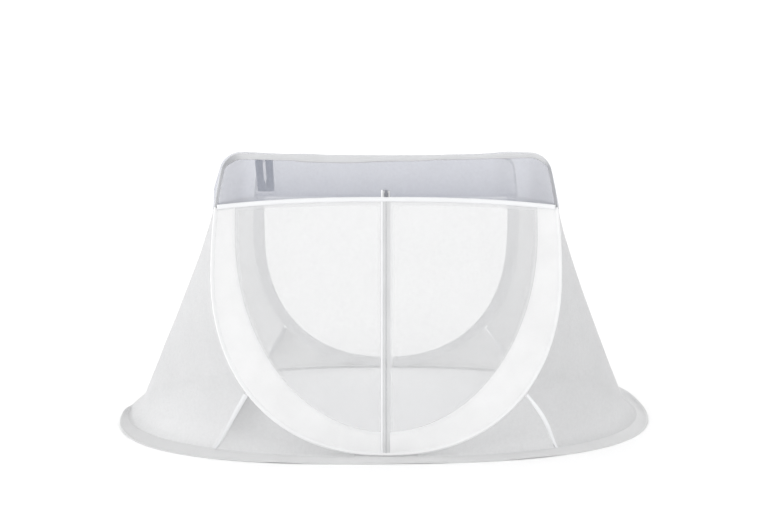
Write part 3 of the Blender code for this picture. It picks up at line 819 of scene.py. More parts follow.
LOWER_STEPS, SIDE_STEPS, CORNER_STEPS, TOP_STEPS = 110, 40, 30, 40
NEAR, TINY = 1e-5, 1e-9       # a point within this of a line's end, or of the middle


def lean_parts():
    """Cosine and sine of a hoop plane's lean."""
    cosine = 1 / math.hypot(1, hoops().lean)
    return cosine, hoops().lean * cosine


def on_plane(x, height, out=0.0, face=FRONT):
    """World places of points in a hoop plane, moved out of it by a distance."""
    cosine, sine = lean_parts()
    x, height, out = np.broadcast_arrays(np.asarray(x, float), height, out)
    depth = hoops().foot - hoops().lean * height
    return np.stack([x, face * (depth + out * cosine), height + out * sine], axis=-1)


def plane_out(face):
    """Direction straight out of a hoop plane."""
    cosine, sine = lean_parts()
    return np.array([0.0, face * cosine, sine])


def outward(face, rows):
    """That direction for each of a line's points."""
    return np.broadcast_to(plane_out(face), (rows, 3))


def panel_map(x, height):
    """Metres across and up a flat panel in a hoop plane."""
    return np.stack([x, height / lean_parts()[0]], axis=-1)


def panel(name, x, z, wave, material, slot, node, face=FRONT, **more):
    """Sheet of cloth in a hoop plane, waved out of it, as a finished piece."""
    piece = cloth(name, on_plane(x, z, wave, face), material, panel_map(x, z), **more)
    return settle(piece, slot, node)


def hoop_half():
    """Right half of a hoop's centre line as (x, height), bottom middle to top middle."""
    h = hoops()
    turn = np.linspace(-math.pi / 2, 0, LOWER_STEPS, endpoint=False)
    power = 2 / h.roundness
    lower = np.stack([h.half_width * np.abs(np.cos(turn)) ** power,
                      h.waist - (h.waist - h.bottom) * np.abs(np.sin(turn)) ** power], axis=-1)
    lower[0, 0] = 0.0
    t = np.linspace(0, 1, SIDE_STEPS, endpoint=False)
    upright = np.stack([h.half_width - h.taper * t ** h.side_curve,
                        h.waist + (h.shoulder - h.waist) * t], axis=-1)
    slope, corner_x, corner_z = corner_start()
    turn = np.linspace(slope, math.pi / 2, CORNER_STEPS + 1)
    corner = np.stack([corner_x + h.corner * np.cos(turn),
                       corner_z + h.corner * np.sin(turn)], axis=-1)
    t = np.linspace(1, 0, TOP_STEPS + 1)[1:]
    top = np.stack([corner_x * t, corner_z + h.corner - h.top_sag * (1 - t * t)], axis=-1)
    return np.concatenate([lower, upright, corner, top])


def corner_start():
    """Slope of a hoop's side at its shoulder, and the middle of the corner's arc."""
    h = hoops()
    slope = math.atan(h.taper * h.side_curve / (h.shoulder - h.waist))
    return (slope, h.half_width - h.taper - h.corner * math.cos(slope),
            h.shoulder - h.corner * math.sin(slope))


def corner_middle():
    """Where the straight part of a hoop's top ends, across."""
    return corner_start()[1]


def top_height():
    """Height of a hoop's centre line at the top of its corners."""
    return corner_start()[2] + hoops().corner


def half_line(distance):
    """Right half of the line at a distance outside the hoop's centre line."""
    half = hoop_half()
    closed = np.concatenate([half, half[-2:0:-1] * [-1, 1]])
    cosine = lean_parts()[0]
    change = np.roll(closed, -1, axis=0) - np.roll(closed, 1, axis=0)
    slope = unit(np.stack([change[:, 0], change[:, 1] / cosine], axis=-1))
    moved = closed + distance * np.stack([slope[:, 1], -slope[:, 0] * cosine], axis=-1)
    moved = moved[:len(half)]
    moved[0, 0] = moved[-1, 0] = 0.0
    return moved


def x_at(line, height):
    """Half-width of a line at heights up to its top corner."""
    top = int(np.argmax(line[:, 1]))
    return np.interp(height, line[:top + 1, 1], line[:top + 1, 0])


def cut_line(line, low, high):
    """Part of a right half line between two heights on its rising side."""
    rising = line[:int(np.argmax(line[:, 1])) + 1]
    kept = rising[(rising[:, 1] > low + NEAR) & (rising[:, 1] < high - NEAR)]
    start = line[:1] if low <= line[0, 1] else [[x_at(line, low), low]]
    return np.concatenate([start, kept, [[x_at(line, high), high]]])


def part_above(line, height):
    """Part of a right half line from a height on its side over the top to its middle."""
    kept = line[line[:, 1] > height + NEAR]
    return np.concatenate([[[float(x_at(line, height)), height]], kept[kept[:, 0] > -TINY]])


def arc_height(x, reach):
    """Height of the bound edge's middle line, which ends at the reach on each side."""
    f = front()
    return f.arc_centre - (f.arc_centre - f.arc_end) * np.abs(np.asarray(x) / reach) ** f.arc_power


def inner_line():
    """Right half of the line just inside a hoop, where its flat panels end."""
    return half_line(-(hoops().radius + HAIR))


def arc_reach():
    return float(x_at(inner_line(), front().arc_end))


def lower_run(count):
    """Centre line from the left end of the bound edge, down round the floor, to the right."""
    right = cut_line(half_line(0.0), 0.0, front().arc_end)
    return even(np.concatenate([right[::-1] * [-1, 1], right[1:]]), count)


def upper_run(count):
    """Centre line from the right end of the bound edge over the top to the left."""
    right = part_above(half_line(0.0), front().arc_end)
    return even(np.concatenate([right, right[-2::-1] * [-1, 1]]), count)


def line_frames(run, face):
    """Places, inward directions in the hoop plane, and outward directions along a run."""
    centres = on_plane(run[:, 0], run[:, 1], 0.0, face)
    along = unit(np.gradient(centres, axis=0))
    out = outward(face, len(centres))
    side = unit(np.cross(along, out))
    middle = on_plane(0.0, 0.5, 0.0, face)
    if ((middle - centres) * side).sum() < 0:
        side = -side
    return centres, side, out


def teardrop(radius, tongue, tip):
    """Rings round a wire whose cloth closes to a flat tongue on the inner side, as (inward,
    out) pairs. radius and tongue are given along the wire; tip is half the tongue's thickness."""
    t = np.linspace(0, 1, RING_POINTS // 2 + 1)
    angle, on_wire = math.pi * t, t <= 0.5
    radius, tongue = radius[:, None], tongue[:, None]
    inward = np.where(on_wire, -radius * np.cos(angle), tongue * np.clip(2 * t - 1, 0, 1) ** 1.2)
    closing = 1 - smooth(2 * t - 1)
    height = np.where(on_wire, radius * np.sin(angle), tip + (radius - tip) * closing)
    height[:, 0] = 0.0
    upper = np.stack([inward, height], axis=-1)
    return np.concatenate([upper, (upper * [1, -1])[:, :0:-1]], axis=1)


# ---- frame ----

SLEEVE_POINTS, CASING_POINTS, RING_POINTS = 620, 360, 22
SLEEVE_CLOTH = 0.0004
MARGIN, MARGIN_TIP = 0.0085, 0.0011         # flat margin of a sleeve, and half its thickness
CASING_MARGIN, CASING_TIP = 0.0052, 0.0010  # the same of a casing, beside the valance
SLEEVE_PUCKERS = ((0.05, 0.03), (0.03, 0.012))
CASING_SEAM = 0.0022                        # stitched this far from its edge


def build_sleeves():
    """White sleeves round the lower hoops and casings round their tops."""
    for face, where, seed in ((FRONT, "front", 3), (BACK, "back", 13)):
        run = lower_run(SLEEVE_POINTS)
        centres, side, out = line_frames(run, face)
        pucker = 1 + waves(centres, seed, *SLEEVE_PUCKERS)
        tongue = MARGIN * (1 + 0.05 * drift(centres, seed + 2, 0.05))
        section = teardrop(hoops().radius * pucker, tongue, MARGIN_TIP)
        piece = sleeve("hoop_sleeve_" + where, centres, side, out, section, white_sleeve(),
                       SLEEVE_CLOTH)
        settle(piece, "hoop_sleeve", where + "_hoop")
        seam = centres + side * tongue[:, None] * 0.72 + out * 0.0017
        sewn = stitches("sleeve_stitches_" + where, [(seam, out)], white_thread(),
                        "white_binding")
        declare_strip(ring_sides(section[0]).sum(), lengths_along(centres)[-1])
        build_casing(face, where, seed + 3)


def build_casing(face, where, seed):
    """Casing round the top of a hoop: narrow beside the valance, wide and uneven above it.
    The front's is greyer where its layers gather, and it carries painted shade: darker down
    its sides, most on the right, and in a thin line along its lower edge."""
    h = hoops()
    run = upper_run(CASING_POINTS)
    x, height = run.T
    centres, side, out = line_frames(run, face)
    rise = smooth((height - top_height() + h.corner * 0.70) / (h.corner * 0.60))
    gather = bell(x + corner_middle() + h.corner * 0.62, 0.030)
    gather = gather * smooth((height - h.shoulder + 0.03) / 0.06)
    shallow = 0.26 * smooth((x + 0.14) / 0.16) + 0.20 * smooth((x - 0.08) / 0.10)
    shallow += 0.24 * smooth((-0.27 - x) / 0.05)
    tongue = CASING_MARGIN + (h.casing * (1 - shallow) - CASING_MARGIN) * rise
    tongue = tongue + 0.0006 * drift(centres, seed, 0.09) + 0.0030 * gather * (1 - rise)
    pucker = 1 + 0.06 * drift(centres, seed + 1, 0.04) + 0.05 * rise + 0.7 * bell(x - 0.40, 0.05)
    section = teardrop(h.radius * pucker, tongue, CASING_TIP)
    piece = sleeve("top_casing_" + where, centres, side, out, section,
                   grey_casing() if face == FRONT else lightened_back_casing(), SLEEVE_CLOTH)
    if face == FRONT:
        # Painted shade: darker down the sides below the corners, most on the right, and a thin
        # dark line along the lower edge of the top; the gathered left corner is greyer from its
        # layers.
        darker = np.where(x > 0, 0.80, 0.50) * (1 - rise) + 0.60 * gather
        edge_shade = (0.24 - 0.12 * smooth(x / 0.10)) * rise * smooth((x + 0.34) / 0.06)
        edge = bell(section[..., 0] - tongue[:, None], 0.0035)
        darker = np.clip(darker[:, None] + edge * edge_shade[:, None], 0.0, 1.0)
        mark(piece.data, "Fold", np.tile(darker.ravel(), 2))
    settle(piece, "grey_shade")
    seam = centres + side * (tongue - CASING_SEAM)[:, None] + out * 0.0015
    sewn = stitches("casing_stitches_" + where, [(seam, out)], thread("grey thread", "casing"),
                    "grey_shade")
    girth = np.mean([ring_sides(ring).sum() for ring in section[::20]])
    declare_strip(girth, lengths_along(centres)[-1])


# ---- front panel ----

BORDER_ROWS, BORDER_COLUMNS = 150, 14
BORDER_CLOTH, BORDER_HEM = 0.0014, 0.0006  # thickness, and what its turned inner edge adds
BORDER_TURN = 0.007                        # width of that turned edge
BORDER_SEAMS = (0.0030, 0.0075)            # stitch lines, from the inner edge
BORDER_WAVE = (0.0011, 0.16)               # height and size of its soft waves
GATHER, GATHER_PITCH = 0.0006, 0.047       # small gathers along the hoop
LIFTED, LIFTED_SIZE, LIFTED_HEIGHT = 0.004, 0.022, 0.030  # the right border's low corner


def border_inner(shrink=0.0, count=BORDER_ROWS):
    """Inner edge of the opaque border from the zip up to its waist, right side."""
    f = front()
    half_width = f.border_half - shrink
    rise = f.border_waist - f.border_bottom - shrink
    start = math.asin((f.zip_half + HAIR) / half_width)
    a = np.linspace(start, math.pi / 2, count)
    return np.stack([half_width * np.sin(a), f.border_waist - rise * np.cos(a)], axis=-1)


def build_borders():
    """Opaque white borders of the front panel, left and right of the zip."""
    f = front()
    line = inner_line()
    zip_edge = f.zip_half + HAIR
    outer = cut_line(line, 0.0, f.arc_end - HAIR / 2)
    outer = outer[outer[:, 0] > zip_edge]
    start = [zip_edge, np.interp(zip_edge, line[:60, 0], line[:60, 1])]
    outer = even(np.concatenate([[start], outer]), BORDER_ROWS)
    top = [f.border_half, float(arc_height(f.border_half, arc_reach())) - HAIR / 2]
    inner = even(np.concatenate([border_inner(), [top]]), BORDER_ROWS)
    across = np.linspace(0, 1, BORDER_COLUMNS)
    flat = between(inner, outer, across)
    along = lengths_along(outer)[:, None]
    window = arch(across, 0.6)
    for sign, name, seed in ((-1, "left", 21), (1, "right", 27)):
        x, z = sign * flat[..., 0], flat[..., 1]
        places = on_plane(x, z)
        gather = np.sin(2 * math.pi * along / GATHER_PITCH + 2 * drift(places, seed, 0.2))
        wave = waves(places, seed, BORDER_WAVE) + GATHER * gather * bell(1 - across, 0.3)
        wave *= window
        if name == "right":
            wave += (LIFTED * bell(x - zip_edge, LIFTED_SIZE)
                     * bell(z - LIFTED_HEIGHT, LIFTED_SIZE))
        grid = on_plane(x, z, wave)
        width = np.linalg.norm(places[:, -1] - places[:, 0], axis=-1)[:, None]
        thick = BORDER_CLOTH + BORDER_HEM * hem_share(across * width, BORDER_TURN)
        piece = panel("front_border_cloth_" + name, x, z, wave, white_cloth(), "white_border",
                      "front_border_" + name, thickness=thick)
        out = outward(FRONT, BORDER_ROWS)
        lines = [(grid[:, 0] * (1 - inset / width) + grid[:, -1] * (inset / width) + out * 0.0012,
                  out) for inset in BORDER_SEAMS]
        sewn = stitches("border_stitches_" + name, lines, white_thread(), "white_border")
        declare(width.mean(), lengths_along(places[:, BORDER_COLUMNS // 2])[-1],
                grid_area(places))


DOOR_ROWS, DOOR_TOP_ROWS, DOOR_COLUMNS = 90, 20, 56
TUCK = 0.003                  # the net runs this far in under its border, tape and binding
DOOR_HEM = 0.006
DOOR_WAVES = ((0.0030, 0.42), (0.0010, 0.13))
HANG, HANG_PITCH = 0.0008, 0.085  # upright folds near its top


def build_door_nets():
    """Two sheer door halves between zip, border and bound edge."""
    f = front()
    zip_edge = f.zip_half - TUCK
    edge = border_inner(-TUCK, DOOR_ROWS)
    t = np.linspace(0, 1, DOOR_COLUMNS)
    lower_x = zip_edge + (edge[:, :1] - zip_edge) * t
    top_x = zip_edge + (f.border_half + TUCK - zip_edge) * t
    arc = arc_height(top_x, arc_reach()) - HAIR / 2
    part_up = np.linspace(0, 1, DOOR_TOP_ROWS + 1)[1:, None]
    x = np.concatenate([lower_x, np.broadcast_to(top_x, (DOOR_TOP_ROWS, DOOR_COLUMNS))])
    z = np.concatenate([np.broadcast_to(edge[:, 1:], lower_x.shape),
                        f.border_waist + (arc - f.border_waist) * part_up])
    window = smooth(9 * np.minimum(t, 1 - t)) * smooth((arc - z) / 0.05)
    to_seam = np.minimum(x - zip_edge, (1 - t) * (x[:, -1:] - zip_edge))
    to_seam = np.minimum(to_seam, arc - z - f.arc_half)
    hem = hem_share(to_seam, TUCK + DOOR_HEM)
    for sign, name, seed in ((-1, "left", 31), (1, "right", 37)):
        places = on_plane(sign * x, z)
        hang = np.sin(2 * math.pi * (x + 0.02 * drift(places, seed + 2, 0.5)) / HANG_PITCH)
        wave = waves(places, seed, *DOOR_WAVES) + HANG * hang * smooth((z - 0.45) / 0.3)
        piece = panel("door_net_cloth_" + name, sign * x, z, wave * window, door_mesh(),
                      "door_net", "front_net_" + name, tidy=True, hem=hem)
        declare(f.border_half, f.arc_centre - f.border_bottom, grid_area(places))


# ---- valances ----

VALANCE_ROWS, VALANCE_COLUMNS = 28, 150
CORNER_SHARE = 0.20           # share of a half's columns that end on the hoop's side
VALANCE_WAVES = ((0.0016, 0.22), (0.0007, 0.07))
VALANCE_HEM = 0.012


def valance_grid(low_curve, start_height):
    """Flat patch between a low curve and the inside of the hoop's top, as x and height."""
    upper = part_above(inner_line(), start_height)
    reach = upper[0, 0]
    place = lengths_along(upper)
    corner = place[int(np.argmin(np.abs(upper[:, 0] - corner_middle())))]
    t = np.linspace(0, 1, VALANCE_COLUMNS // 2 + 1)
    past = (t - CORNER_SHARE) / (1 - CORNER_SHARE)
    walk = np.where(t < CORNER_SHARE, corner * t / CORNER_SHARE,
                    corner + (place[-1] - corner) * past)
    upper = at_lengths(upper, place, walk)
    low_x = reach * (1 - t)
    lower = np.stack([low_x, low_curve(low_x, reach)], axis=-1)
    v = np.linspace(0, 1, VALANCE_ROWS)[:, None, None]
    right = lower[None] * (1 - v) + upper[None] * v
    return np.concatenate([right, right[:, -2::-1] * [-1, 1]], axis=1)


def build_valances():
    """Sheer grey shades under the top of each hoop, with a hem along the lower edge."""
    f = front()
    patch = valance_grid(lambda x, reach: arc_height(x, reach) + HAIR / 2, f.arc_end)
    back = valance_grid(lambda x, reach: np.full_like(x, f.back_border_top + HAIR),
                        f.back_border_top)
    v = np.linspace(0, 1, VALANCE_ROWS)[:, None]
    for flat, face, where, seed in ((patch, FRONT, "front", 41), (back, BACK, "back", 47)):
        x, z = flat[..., 0], flat[..., 1]
        places = on_plane(x, z, 0.0, face)
        wave = waves(places, seed, *VALANCE_WAVES) * arch(v, 0.7)
        above = panel_map(x, z)[..., 1]
        hem = hem_share(above - above[:1], VALANCE_HEM)
        # Painted shade: the cloth is made denser towards its lower edge, and darker there and at
        # both ends.
        hem = np.maximum(hem, 0.60 * (1 - v) ** 1.4)
        ends = smooth((np.abs(x) - 0.44) / 0.07)
        fold = np.minimum(0.40 * (1 - v) ** 1.5 + 0.85 * ends, 1.0)
        piece = panel("valance_cloth_" + where, x, z, wave, shade_mesh(), "grey_shade",
                      where + "_valance", face, tidy=True, hem=hem, fold=fold)
        declare(np.ptp(x), np.ptp(z), grid_area(places))


BINDING_POINTS, BINDING_SIDES, BINDING_CLOTH = 260, 20, 0.0006
BINDING_SEAM = 0.0052         # its two stitch lines lie this far from its middle
BINDING_PUCKERS = ((0.05, 0.05), (0.03, 0.016))


def build_bound_edge():
    """White folded binding along the top of the door, stitched through both layers."""
    f = front()
    reach = arc_reach()
    x = np.linspace(-reach + HAIR, reach - HAIR, BINDING_POINTS)
    centres = on_plane(x, arc_height(x, reach), 0.0010 + f.arc_bulge)
    out = outward(FRONT, BINDING_POINTS)
    up = unit(np.cross(out, unit(np.gradient(centres, axis=0))))
    up = np.where(up[:, 2:] < 0, -up, up)
    turn = full_turn(BINDING_SIDES)
    swell = 1 + waves(centres, 51, *BINDING_PUCKERS)[:, None]
    section = np.stack([f.arc_half * np.cos(turn) * (0.5 + 0.5 * swell),
                        f.arc_bulge * signed_power(np.sin(turn), 0.7) * swell], axis=-1)
    piece = sleeve("bound_edge_tape", centres, up, out, section, white_tape(), BINDING_CLOTH)
    settle(piece, "white_binding", "bound_edge")
    lines = [(centres + up * height + out * (f.arc_bulge * 0.80), out)
             for height in (-BINDING_SEAM, BINDING_SEAM)]
    sewn = stitches("bound_edge_stitches", lines, white_thread(), "white_binding")
    declare_strip(ring_sides(section[0]).sum(), lengths_along(centres)[-1])


# ---- zip ----

ZIP_ROWS, ZIP_COLUMNS, ZIP_CLOTH = 240, 8, 0.0009
ZIP_GAP = 0.0011              # half the gap between the two tapes, under the teeth
ZIP_SEAM = 0.0096             # the tapes are stitched down this far from the middle
TOOTH_PITCH, TOOTH_SIDES = 0.0021, 8
TOOTH_HIGH, TOOTH_THICK, TOOTH_OUT = 0.00082, 0.00095, 0.0027
TOOTH_RINGS = ((-0.0009, 0.55), (-0.00055, 1.0), (0.0016, 1.0), (0.0026, 0.7))  # across, size
# Low and high corners of the slider, its bridge and its pull as (x, height, out), and bevel.
SLIDER_BLOCKS = (((-0.0066, 0.0000, 0.0018), (0.0066, 0.0130, 0.0058), 0.0012),
                 ((-0.0017, 0.0022, 0.0054), (0.0017, 0.0114, 0.0078), 0.0008),
                 ((-0.0048, 0.0078, 0.0071), (0.0048, 0.0225, 0.0083), 0.0005))
FLAP_ROWS, FLAP_CLOTH, FLAP_PAST_ZIP = 220, 0.0007, 0.003


def build_zip():
    """Zip tape halves with teeth, slider, pull and the white flap on the left."""
    low = float(inner_line()[0, 1])
    build_zip_tapes(low)
    build_zip_teeth(low)
    build_zip_slider()
    build_zip_flap(low)


def build_zip_tapes(low):
    """The two woven tapes, flat against the panel and stitched near their outer edges."""
    f = front()
    heights = np.linspace(low, f.zip_top, ZIP_ROWS)
    tape = shared("zip tape", woven_material, looks().zip_tape, 0.0009, ribs=0.0018, spread=0.05)
    width = f.zip_half - ZIP_GAP
    lines = []
    for sign, name in ((-1, "left"), (1, "right")):
        x, z = np.meshgrid(sign * np.linspace(ZIP_GAP, f.zip_half, ZIP_COLUMNS), heights)
        edge = np.clip((np.abs(x) - ZIP_GAP) / width, 0, 1)
        wave = 0.0004 * drift(on_plane(x, z), 61, 0.09) * edge
        piece = cloth("zip_tape_cloth_" + name, on_plane(x, z, 0.0012 + wave), tape,
                      thickness=ZIP_CLOTH)
        settle(piece, "zip_tape", *(["zip_tape"] if name == "left" else []))
        declare_strip(width, f.zip_top - low)
        lines.append((on_plane(sign * ZIP_SEAM, heights, 0.0018), outward(FRONT, ZIP_ROWS)))
    stitches("zip_stitches", lines, thread("zip thread", "zip_tape"), "zip_tape")


def build_zip_teeth(low):
    """Closed zip teeth, from the two sides by turns, up to the bound edge."""
    f = front()
    across, size = np.array(TOOTH_RINGS).T[..., None]
    turn = full_turn(TOOTH_SIDES)
    vertices, faces = [], []
    for k in range(int((f.arc_centre - f.arc_half - HAIR - low) / TOOTH_PITCH)):
        rings = len(vertices) + np.arange(len(across) * TOOTH_SIDES).reshape(-1, TOOTH_SIDES)
        height = low + TOOTH_PITCH * (k + 0.5) + TOOTH_HIGH * size * np.sin(turn)
        tooth = on_plane((-1 if k % 2 else 1) * across, height,
                         TOOTH_OUT + TOOTH_THICK * size * np.cos(turn))
        vertices.extend(tooth.reshape(-1, 3))
        for near, far in zip(rings, rings[1:]):
            faces.extend(np.stack([near, np.roll(near, -1), np.roll(far, -1), far], -1).tolist())
        faces.extend([rings[0].tolist(), rings[-1].tolist()])
    plastic = shared("zip plastic", plastic_material, looks().zip_plastic, 0.42)
    settle(closed_forms("zip_teeth", vertices, faces, plastic), "zip_chain", "zip_chain")


def build_zip_slider():
    """Slider at the top of the zip with its bridge and pull, as rounded blocks."""
    f = front()
    start = f.arc_centre + f.arc_half + HAIR
    work = bmesh.new()
    for low, high, bevel in SLIDER_BLOCKS:
        corners = bmesh.ops.create_cube(work, size=1.0)["verts"]
        for v in corners:
            x, z, out = (low[k] + (high[k] - low[k]) * (v.co[k] + 0.5) for k in range(3))
            v.co = Vector(on_plane(x, start + z, out).tolist())
        edges = list({e for v in corners for e in v.link_edges})
        bmesh.ops.bevel(work, geom=edges, offset=bevel, segments=2, profile=0.6, affect="EDGES")
    mesh = bpy.data.meshes.new("zip_slider_and_pull")
    work.to_mesh(mesh)
    work.free()
    slider = place_mesh("zip_slider_and_pull", mesh,
                        shared("slider plastic", plastic_material, looks().slider, 0.35))
    mesh.set_sharp_from_angle(angle=SHARP_FROM)
    settle(slider, "zip_slider", "zip_slider")


def build_zip_flap(low):
    """Narrow white flap, a soft fold beside the left zip tape."""
    f = front()
    run = f.zip_top + FLAP_PAST_ZIP - low
    t = np.linspace(0, 1, 7)
    across = -f.zip_half - f.flap + f.flap * 1.15 * t
    rise = 0.0017 + 0.0016 * np.sin(math.pi * t) ** 0.8
    x, z = np.meshgrid(across, np.linspace(low, low + run, FLAP_ROWS))
    lift = rise + 0.0004 * drift(on_plane(x, z), 63, 0.07)
    piece = cloth("zip_flap_tape", on_plane(x, z, lift), white_tape(), thickness=FLAP_CLOTH)
    settle(piece, "white_binding", "zip_flap")
    width = float(lengths_along(on_plane(across, 0.4, rise))[-1])
    declare(max(width, LEAST_SIDE), run, width * run)


# ---- back panel ----

BACK_BORDER_COLUMNS, BACK_NET_ROWS, BACK_NET_COLUMNS = 9, 110, 97
BACK_WAVES = ((0.0030, 0.45), (0.0010, 0.15))
BACK_BORDER_WAVE = (0.0010, 0.15)
BACK_SEAM = 0.08              # its border is stitched at this share of its width, inside


def build_back_panel():
    """White border and sheer net of the closed back panel."""
    f = front()
    top = f.back_border_top
    radius = hoops().radius + HAIR
    outer = even(cut_line(half_line(-radius), 0.0, top), BORDER_ROWS)
    inner = even(cut_line(half_line(-radius - f.back_border), 0.0, top), BORDER_ROWS)
    across = np.linspace(0, 1, BACK_BORDER_COLUMNS)
    flat = between(inner, outer, across)
    flat = np.concatenate([flat[::-1] * [-1, 1], flat[1:]])
    x, z = flat[..., 0], flat[..., 1]
    places = on_plane(x, z, 0.0, BACK)
    wave = waves(places, 71, BACK_BORDER_WAVE) * arch(across, 0.6)
    border = panel("back_border_cloth", x, z, wave, white_cloth(), "white_border",
                   "back_border", BACK, thickness=BORDER_CLOTH)
    out = outward(BACK, len(flat))
    seam = places[:, 0] * (1 - BACK_SEAM) + places[:, -1] * BACK_SEAM
    lines = [(seam + out * 0.0010, out), (seam - out * 0.0010, -out)]
    sewn = stitches("back_border_stitches", lines, white_thread(), "white_border")
    declare(f.back_border, lengths_along(places[:, BACK_BORDER_COLUMNS // 2])[-1],
            grid_area(places))

    edge = even(cut_line(half_line(-radius - f.back_border + TUCK), 0.0, top), BACK_NET_ROWS)
    t = np.linspace(-1, 1, BACK_NET_COLUMNS)
    x = edge[:, :1] * t
    z = np.broadcast_to(edge[:, 1:], x.shape)
    places = on_plane(x, z, 0.0, BACK)
    window = smooth(8 * (1 - np.abs(t))) * smooth((top - z) / 0.05)
    wave = waves(places, 73, *BACK_WAVES) * window
    net = panel("back_net_cloth", x, z, wave, door_mesh(), "door_net", "back_net", BACK,
                tidy=True)
    declare(np.ptp(x), np.ptp(z), grid_area(places))


# ---- walls, corners and roof ----

WALL_LIFT = 0.0054            # the wall cloth lies this far outside the hoop's centre line
TAPE_PLAY = 0.0006            # gap between the edges of the cloth under a seam tape
TAPE_LAP = 0.0012             # the tape laps this far over the cloth on each side
HOOP_ROWS, SEAM_ROWS, WALL_COLUMNS = 92, 36, 121
EDGE_PULL = 8                 # how near to its edges a wall leaves its even curve
SEAM_END_DROP = 0.003         # a seam tape begins this far down its seam
WALL_WAVES = ((0.0030, 0.50), (0.0010, 0.16))
WALL_HEM, WALL_HEM_COVER = 0.009, 0.8
PULL_FOLD = 0.0026            # height of a pulled fold
# Folds pulled from the hoops into a wall: hoop, height of their start, end, and width.
PULL_FOLDS = ((FRONT, 0.22, (0.80, -0.18, 0.05), 0.030), (BACK, 0.22, (0.80, 0.20, 0.05), 0.030),
              (FRONT, 0.78, (0.74, -0.12, 0.33), 0.024), (BACK, 0.78, (0.75, 0.10, 0.36), 0.024))


def oval_part(ratio):
    """Half-size of the floor oval one way, as a share, at a share of it the other way."""
    power = walls().roundness
    return (1 - np.minimum(np.abs(ratio), 1.0) ** power) ** (1 / power)


def oval_half_width(y, reach):
    return reach * oval_part(y / walls().depth)


def oval_depth(x, reach):
    return walls().depth * oval_part(x / reach)


LIP = {"left": (0.034, 0.085), "right": (0.026, 0.065)}    # reach and height of the curved foot
LIP_AT_ZIP = 0.45             # share of that reach at the middle of the front


def foot_lip(side, points, share_of_lip=1.0):
    """Points of walls and corners with their foot curved out onto the skirt."""
    depth, power = walls().depth, walls().roundness - 1
    reach, rise = LIP[side.name]
    x, y, z = np.moveaxis(points, -1, 0)
    out = unit(np.stack([signed_power(x / side.reach, power) / side.reach,
                         signed_power(y / depth, power) / depth, np.zeros_like(x)], axis=-1))
    end = LIP_AT_ZIP + (1 - LIP_AT_ZIP) * (x / side.reach) ** 2
    bend = np.clip(1 - (z - foot_height()) / rise, 0.0, 1.0) ** 2.2 * end * share_of_lip
    return points + out * (reach * bend)[..., None]


def foot_height():
    """Height at which walls and corners end, just above the skirt."""
    return walls().skirt_thickness + HAIR


def fullness(side, u, height):
    """Share of a wall's bulge, 0 at the hoops and 1 in the middle, at u from -1 to 1."""
    w = walls()
    foot_depth = oval_depth(w.seam_foot, side.reach)
    foot_width = oval_half_width(foot_depth, side.reach)
    oval = (oval_half_width(u * foot_depth, side.reach) - foot_width) / (side.reach - foot_width)
    blend = np.minimum(height / w.shoulder, 1.0)
    return (1 - blend) * oval + blend * (1 - u * u)


def seam_foot(side):
    """Foot of a corner seam, in the right back quarter."""
    w = walls()
    return np.array([w.seam_foot, float(oval_depth(w.seam_foot, side.reach)), foot_height()])


def hoop_side_point(line, height):
    """Place on a line round a hoop at a height, in the right back quarter."""
    height = np.asarray(height, float)
    return np.stack([x_at(line, height), hoops().foot - hoops().lean * height, height], axis=-1)


def seam_points(side, drop):
    """Corner seam in the right back quarter: drop 0 on the hoop, 1 at its foot."""
    line = half_line(WALL_LIFT)
    top = hoop_side_point(line, walls().seam_height)
    drop = np.asarray(drop, float)[:, None]
    points = top * (1 - drop) + seam_foot(side) * drop
    points[:, 0] += side.bow * np.sin(math.pi * drop[:, 0])
    return points


def wall_points(side, edges, u):
    """Wall places for edge points (rows) and u from -1 front to 1 back (columns or a grid)."""
    shoulder = hoop_side_point(half_line(WALL_LIFT), walls().shoulder)
    foot = seam_foot(side)
    z = edges[:, 2:3]
    rise = (z - foot[2]) / (shoulder[2] - foot[2])
    line_x = foot[0] + (shoulder[0] - foot[0]) * rise
    line_y = foot[1] + (shoulder[1] - foot[1]) * rise
    pull = np.abs(u) ** EDGE_PULL
    x = line_x + (side.middle(z) - line_x) * fullness(side, u, z) + (edges[:, :1] - line_x) * pull
    y = line_y * u + np.sign(u) * (edges[:, 1:2] - line_y) * pull
    return np.stack([side.sign * x, y, np.broadcast_to(z, x.shape)], axis=-1)


def edge_share(side, edges, distance):
    """Value of u that lies a short distance along the wall from each edge point."""
    step = 0.01
    ones = np.ones((len(edges), 1))
    change = wall_points(side, edges, ones) - wall_points(side, edges, ones - step)
    speed = np.linalg.norm(change[:, 0], axis=-1) / step
    return 1.0 - distance / speed


